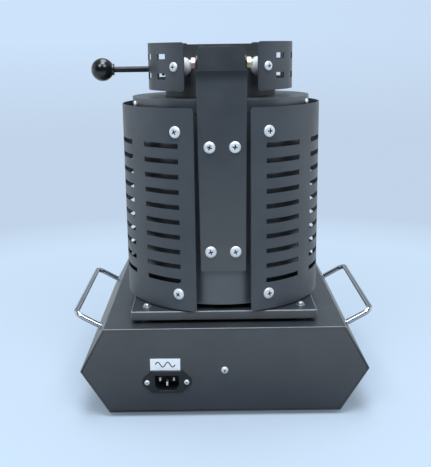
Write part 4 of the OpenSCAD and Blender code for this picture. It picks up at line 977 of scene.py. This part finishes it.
def handle(side):
    """Chromed U handle: a bar with two round bends, and a thin collar round each foot."""
    half, bend_steps, edge = HANDLE_SPAN / 2, 10, 0.0003
    points = [(0, -half, HAIR)]
    for end in (-1, 1):
        steps = range(bend_steps + 1) if end < 0 else range(bend_steps, -1, -1)
        for step in steps:
            a = math.pi / 2 * step / bend_steps
            points.append((0, end * (half - HANDLE_BEND + HANDLE_BEND * math.cos(a)),
                           HANDLE_RISE - HANDLE_BEND + HANDLE_BEND * math.sin(a)))
    points.append((0, half, HAIR))
    bar = settle(finish_with(bent_bar(points, HANDLE_BAR / 2, "bar"), chrome), on_slope(side, 0))
    collar = turned([(COLLAR_R - edge, SEAT_GAP), (COLLAR_R, edge), (COLLAR_R, COLLAR_H - edge),
                     (COLLAR_R - edge, COLLAR_H), (HANDLE_BAR / 2, COLLAR_H)])
    finish_with(collar, chrome)
    soften(collar, 0.0001, TURNED_CORNER)
    return [bar] + copies_of(collar, [on_slope(side, end * half) for end in (-1, 1)])


fit("handle_left", handle(-1))
fit("handle_right", handle(1))
flip = Matrix.Rotation(math.pi, 4, "X")
handle_feet = [on_slope(side, end * HANDLE_SPAN / 2, -SHEET) @ flip for side in (-1, 1) for end in (-1, 1)]
fit("handle_screws", copies_of(cross_screw(*HANDLE_SCREW), handle_feet))


# Label over the inlet, and the marks on the control side

def slab(width, height, thick, finish, edge=0.0002):
    """A thin plate on zero, with its outer edges softened."""
    plate = finish_with(block(width, height, thick, thick / 2), finish)
    soften(plate, min(edge, thick * 0.4))
    return plate


def add_detail(name, node, pieces):
    """Small pieces that move with a node and hide nothing."""
    return stands_for(join(pieces, name), node, hides=False)


def mains_label():
    """Plain white sticker over the inlet with the bare wave of an alternating current."""
    thick, line_w, line_flatness = 0.00022, 0.0011, 0.12
    reach, swing, waves, steps = 0.0200, 0.0026, 2, 48
    place = facing_rear(LABEL_X, REAR_FACE_Y, INLET_TOP_Z + LABEL_GAP + LABEL_H / 2)
    place = place @ Matrix.Rotation(LABEL_LEAN, 4, "Z")
    plate = settle(slab(LABEL_W, LABEL_H, thick, label_stock), place)
    points = [(reach * (k / steps - 0.5), swing * math.sin(2 * math.pi * waves * k / steps), 0)
              for k in range(steps + 1)]
    wave = finish_with(bent_bar(points, line_w / 2, "wave"), label_ink)
    pressed = Matrix.Diagonal((1, 1, line_flatness, 1))
    settle(wave, place @ Matrix.Translation((0, 0, thick)) @ pressed)
    return [plate, wave]


add_detail("mains_label", "rear_panel", mains_label())


def segment(length, finish):
    """One bar of a display figure, with pointed ends, lying along X."""
    width, thick = 0.0010, 0.00012
    bar = turned([(width / 2, 0), (width / 2, thick)], 4)
    for vertex in bar.data.vertices:
        if abs(vertex.co.x) > HAIR:
            vertex.co.x += math.copysign(length / 2 - width / 2, vertex.co.x)
    return finish_with(bar, finish)


def figure(height, finish):
    """The seven bars of one display figure, around zero, leaning a little."""
    width, gap, lean = height * 0.5, 0.0003, math.radians(8)
    flat_spots = [(0, height / 2), (0, 0), (0, -height / 2)]
    tall_spots = [(sx * width / 2, sy * height / 4) for sx in (-1, 1) for sy in (-1, 1)]
    bars = []
    for x, y in flat_spots:
        bars.append(settle(segment(width - gap, finish), Matrix.Translation((x, y, 0))))
    for x, y in tall_spots:
        turn = Matrix.Rotation(math.pi / 2, 4, "Z")
        bars.append(settle(segment(height / 2 - gap, finish), Matrix.Translation((x, y, 0)) @ turn))
    drawn = join(bars, "figure")
    drawn.data.transform(Matrix(((1, math.tan(lean), 0, 0), (0, 1, 0, 0), (0, 0, 1, 0), (0, 0, 0, 1))))
    return drawn


def display():
    """Two rows of four unlit figures with their points, and a column of small lamps."""
    figures, point_r, lamp_r, lamp_h = 4, 0.0005, 0.0009, 0.0005
    upper, lower = (0.0125, 0.0695, segment_unlit, 0.0105), (0.0095, 0.0520, segment_dim, 0.0085)
    pieces = []
    for height, z, finish, step in (upper, lower):
        for spot in range(figures):
            x = DISPLAY_X + (spot - (figures - 1) / 2) * step
            pieces.append(settle(figure(height, finish), facing_front(x, WINDOW_Y, z)))
            point = finish_with(turned([(point_r, 0), (point_r, HAIR)], 16), finish)
            pieces.append(settle(point, facing_front(x + step * 0.42, WINDOW_Y, z - height / 2)))
    for row in range(4):
        lamp_dot = turned([(lamp_r, 0)] + dome(lamp_r, HAIR, lamp_h, 0.3, 4), 24)
        finish_with(lamp_dot, segment_unlit if row % 2 else segment_dim)
        pieces.append(settle(lamp_dot, facing_front(LAMPS_X, WINDOW_Y, LAMPS_Z - row * LAMP_STEP)))
    return pieces


add_detail("controller_display", "controller_window", display())


def key_cap(x):
    """One grey key with a dished face inside a raised rim, on its guide block."""
    width, height, reach, rim_w, dish_w, dish = 0.0096, 0.0056, 0.0052, 0.0006, 0.0003, 0.00025
    key = block(width, height, reach, reach / 2)
    top = max(key.data.polygons, key=lambda p: p.center.z)
    for polygon in key.data.polygons:
        polygon.select = polygon == top
    bpy.ops.object.mode_set(mode="EDIT")
    bpy.ops.mesh.select_mode(type="FACE")
    bpy.ops.mesh.inset(thickness=rim_w, depth=0)
    bpy.ops.mesh.inset(thickness=dish_w, depth=-dish)
    bpy.ops.object.mode_set(mode="OBJECT")
    finish_with(key, key_grey)
    soften(key, 0.0003, segments=3)
    return settle(key, facing_front(x, KEY_Y + reach, KEY_Z))


def key_sign(kind):
    """The sign on a key: a ring, or a triangle turned to the side, down or up."""
    thick, ring_r, ring_bore, arrow_r = 0.0002, 0.0012, 0.0016, 0.0014
    if kind == "ring":
        sign = bored(turned([(ring_r, 0), (ring_r, thick)], 32), ring_bore / 2, -0.001, 0.001)
    else:
        sign = turned([(arrow_r, 0), (arrow_r, thick)], 3)
        turns = {"up": 0, "left": 90, "down": 180}
        settle(sign, Matrix.Rotation(math.radians(turns[kind]), 4, "Z"))
    return finish_with(sign, key_mark)


for key_node, kind in (("set_button", "ring"), ("shift_button", "left"),
                       ("down_button", "down"), ("up_button", "up")):
    key_x = halfway(key_node, "x")
    sign_place = facing_front(key_x, KEY_Y + SIGN_IN, KEY_Z)
    fit(key_node, [key_cap(key_x), settle(key_sign(kind), sign_place)])


def rocker_signs():
    """The bar for on and the ring for off, each on its half of the rocker."""
    pivot = Matrix.Translation((SWITCH_X, FRONT_FACE_Y + ROCKER_IN, PANEL_MID_Z))
    pivot = pivot @ Matrix.Rotation(ROCKER_TILT, 4, "X")
    face_lean, face_y, face_z, thick = math.radians(6.28), -0.00585, 0.005, 0.00014
    bar_w, bar_h, ring_r, ring_bore = 0.0008, 0.0040, 0.0021, 0.0030
    bar = slab(bar_w, bar_h, thick, key_mark, 0.0001)
    ring = bored(turned([(ring_r, 0), (ring_r, thick)], 40), ring_bore / 2, -0.001, 0.001, 40)
    finish_with(ring, key_mark)
    signs = []
    for sign, half in ((bar, 1), (ring, -1)):
        lean = Matrix.Rotation(half * face_lean, 4, "X")
        signs.append(settle(sign, pivot @ Matrix.Translation((0, face_y, half * face_z)) @ lean
                            @ facing_front(0, 0, 0)))
    return signs


add_detail("rocker_signs", "switch_rocker", rocker_signs())


# Floor, backdrop and light

FLOOR_TONE, SHADED_TONE, DARK_ROOM_TONE = (0.465, 0.535, 0.615), (0.145, 0.172, 0.21), (0.033, 0.036, 0.042)
CLEAR_FLOOR_TONE, NEAR_FLOOR_TONE = (0.63, 0.805, 0.99), (0.80, 0.91, 1.0)
BACKDROP_TONE, HORIZON_TONE = (0.61, 0.77, 0.97), (0.53, 0.645, 0.80)
LAMP_TONE, ROOM_TONE, ROOM_STRENGTH = (0.85, 0.925, 1.0), (0.72, 0.82, 0.96), 0.4

# Stretches in metres over which the backdrop's tones change
EVEN_FLOOR, FLOOR_TO_WALL, CLEAR_OF_BASE = (0.14, 0.8), (0.62, 0.88), (0.16, 0.38)
FRONT_FLOOR, BEHIND_EYE, REAR_FLOOR = (-0.5, 0.1), (0.75, 1.5), (0.75, 1.45)
WALL_FOOT, WALL_SIDE, WALL_RISE = (0, 0.42), (-1.5, 0.5), (0.2, 1.1)


def backdrop_finish():
    """Pale floor with soft shadows; further out the camera sees an even pale tone instead of the walls."""
    f = Finish("pale_sweep", specular=0.1)
    f.shader.inputs["Roughness"].default_value = 0.9
    path = f.add("ShaderNodeLightPath")
    by_camera, by_gloss = path.outputs["Is Camera Ray"], path.outputs["Is Glossy Ray"]
    parts = f.add("ShaderNodeSeparateXYZ")
    f.link(f.place, parts.inputs["Vector"])
    across, rearwards, up = (parts.outputs[axis] for axis in "XYZ")
    length = f.add("ShaderNodeVectorMath")
    length.operation = "LENGTH"
    f.link(f.place, length.inputs[0])
    reach = length.outputs["Value"]

    # What the lamps light: dark behind the camera, and shaded for what the pieces mirror
    room = f.tint(f.spread(rearwards, 0, 1, *BEHIND_EYE), FLOOR_TONE, DARK_ROOM_TONE)
    f.colour(f.tint(by_gloss, room, SHADED_TONE))

    # What the camera sees: an even pale floor, then a wall that pales as it rises
    risen = f.combine("MULTIPLY", f.spread(up, 0.1, 1, *WALL_FOOT), f.spread(across, 0.6, 1, *WALL_SIDE))
    wall = f.tint(risen, HORIZON_TONE, BACKDROP_TONE)
    plain = f.tint(f.spread(reach, 0, 1, *FLOOR_TO_WALL), CLEAR_FLOOR_TONE, wall)
    even = f.combine("MULTIPLY", f.spread(reach, 0.2, 1, *EVEN_FLOOR), by_camera)

    # What bright and painted pieces mirror: a pale floor round the furnace, clear of its base
    mirrored = f.combine("MULTIPLY", f.spread(reach, 0, 1, *CLEAR_OF_BASE),
                         f.spread(up, 1, 0.4, *WALL_RISE),
                         f.combine("MULTIPLY", f.spread(rearwards, 0.8, 1, *FRONT_FLOOR),
                                   f.spread(rearwards, 1, 0, *REAR_FLOOR)),
                         by_gloss)
    glow = f.add("ShaderNodeEmission")
    f.link(f.tint(by_gloss, plain, NEAR_FLOOR_TONE), glow.inputs["Color"])
    blend = f.add("ShaderNodeMixShader")
    output = f.tree.nodes["Material Output"]
    f.link(f.combine("ADD", even, mirrored), blend.inputs["Fac"])
    f.link(f.shader.outputs["BSDF"], blend.inputs[1])
    f.link(glow.outputs["Emission"], blend.inputs[2])
    f.link(blend.outputs["Shader"], output.inputs["Surface"])
    return f.material


def studio():
    """A pale floor that sweeps up into a wall on every side."""
    floor_r, wall_h, curve_r, steps = 2.6, 2.4, 0.8, 10
    let_go()
    bpy.ops.mesh.primitive_circle_add(vertices=96, radius=floor_r, fill_type="NGON", location=(0, 0, 0))
    sweep = bpy.context.object
    sweep.name = "studio_sweep"
    bpy.ops.object.mode_set(mode="EDIT")
    bpy.ops.mesh.select_mode(type="EDGE")
    bpy.ops.mesh.select_all(action="SELECT")
    for step in range(steps):
        a0, a1 = math.pi / 2 * step / steps, math.pi / 2 * (step + 1) / steps
        reach = floor_r + curve_r * math.sin(a0)
        out = curve_r * (math.sin(a1) - math.sin(a0))
        rise = curve_r * (math.cos(a0) - math.cos(a1))
        bpy.ops.mesh.extrude_edges_move(TRANSFORM_OT_translate={"value": (0, 0, rise)})
        grow = (reach + out) / reach
        bpy.ops.transform.resize(value=(grow, grow, 1), center_override=(0, 0, 0))
    bpy.ops.mesh.extrude_edges_move(TRANSFORM_OT_translate={"value": (0, 0, wall_h)})
    bpy.ops.object.mode_set(mode="OBJECT")
    shade_round(SWEEP_TURN)
    finish_with(sweep, backdrop_finish())


def lamp(name, place, aim_z, size, watts):
    """A round soft lamp that points at the furnace's axis."""
    data = bpy.data.lights.new(name, "AREA")
    data.shape = "DISK"
    data.size = size
    data.energy = watts
    data.color = LAMP_TONE
    light = bpy.data.objects.new(name, data)
    scene.collection.objects.link(light)
    light.location = place
    light.rotation_euler = (Vector((0, 0, aim_z)) - Vector(place)).to_track_quat("-Z", "Y").to_euler()


def room_light():
    """Faint cool light from all round."""
    world = bpy.data.worlds.new("pale_room")
    world.use_nodes = True
    background = world.node_tree.nodes["Background"]
    background.inputs["Color"].default_value = (*ROOM_TONE, 1)
    background.inputs["Strength"].default_value = ROOM_STRENGTH
    scene.world = world


studio()

# Each lamp's place, the height it points at, its width and its watts
lamp("overhead", (0.0, -0.4, 1.8), 0.1, 1.0, 15)
lamp("overhead_rear", (0.0, 0.45, 1.75), 0.1, 0.8, 17)
lamp("rear_left", (0.75, 1.35, 1.75), 0.2, 1.0, 18)
lamp("rear_right", (-0.75, 1.35, 1.75), 0.2, 1.0, 17)
lamp("side_left", (1.6, -0.3, 0.6), 0.2, 1.4, 2.4)
lamp("side_right", (-1.6, -0.3, 0.6), 0.2, 1.4, 2.2)
room_light()
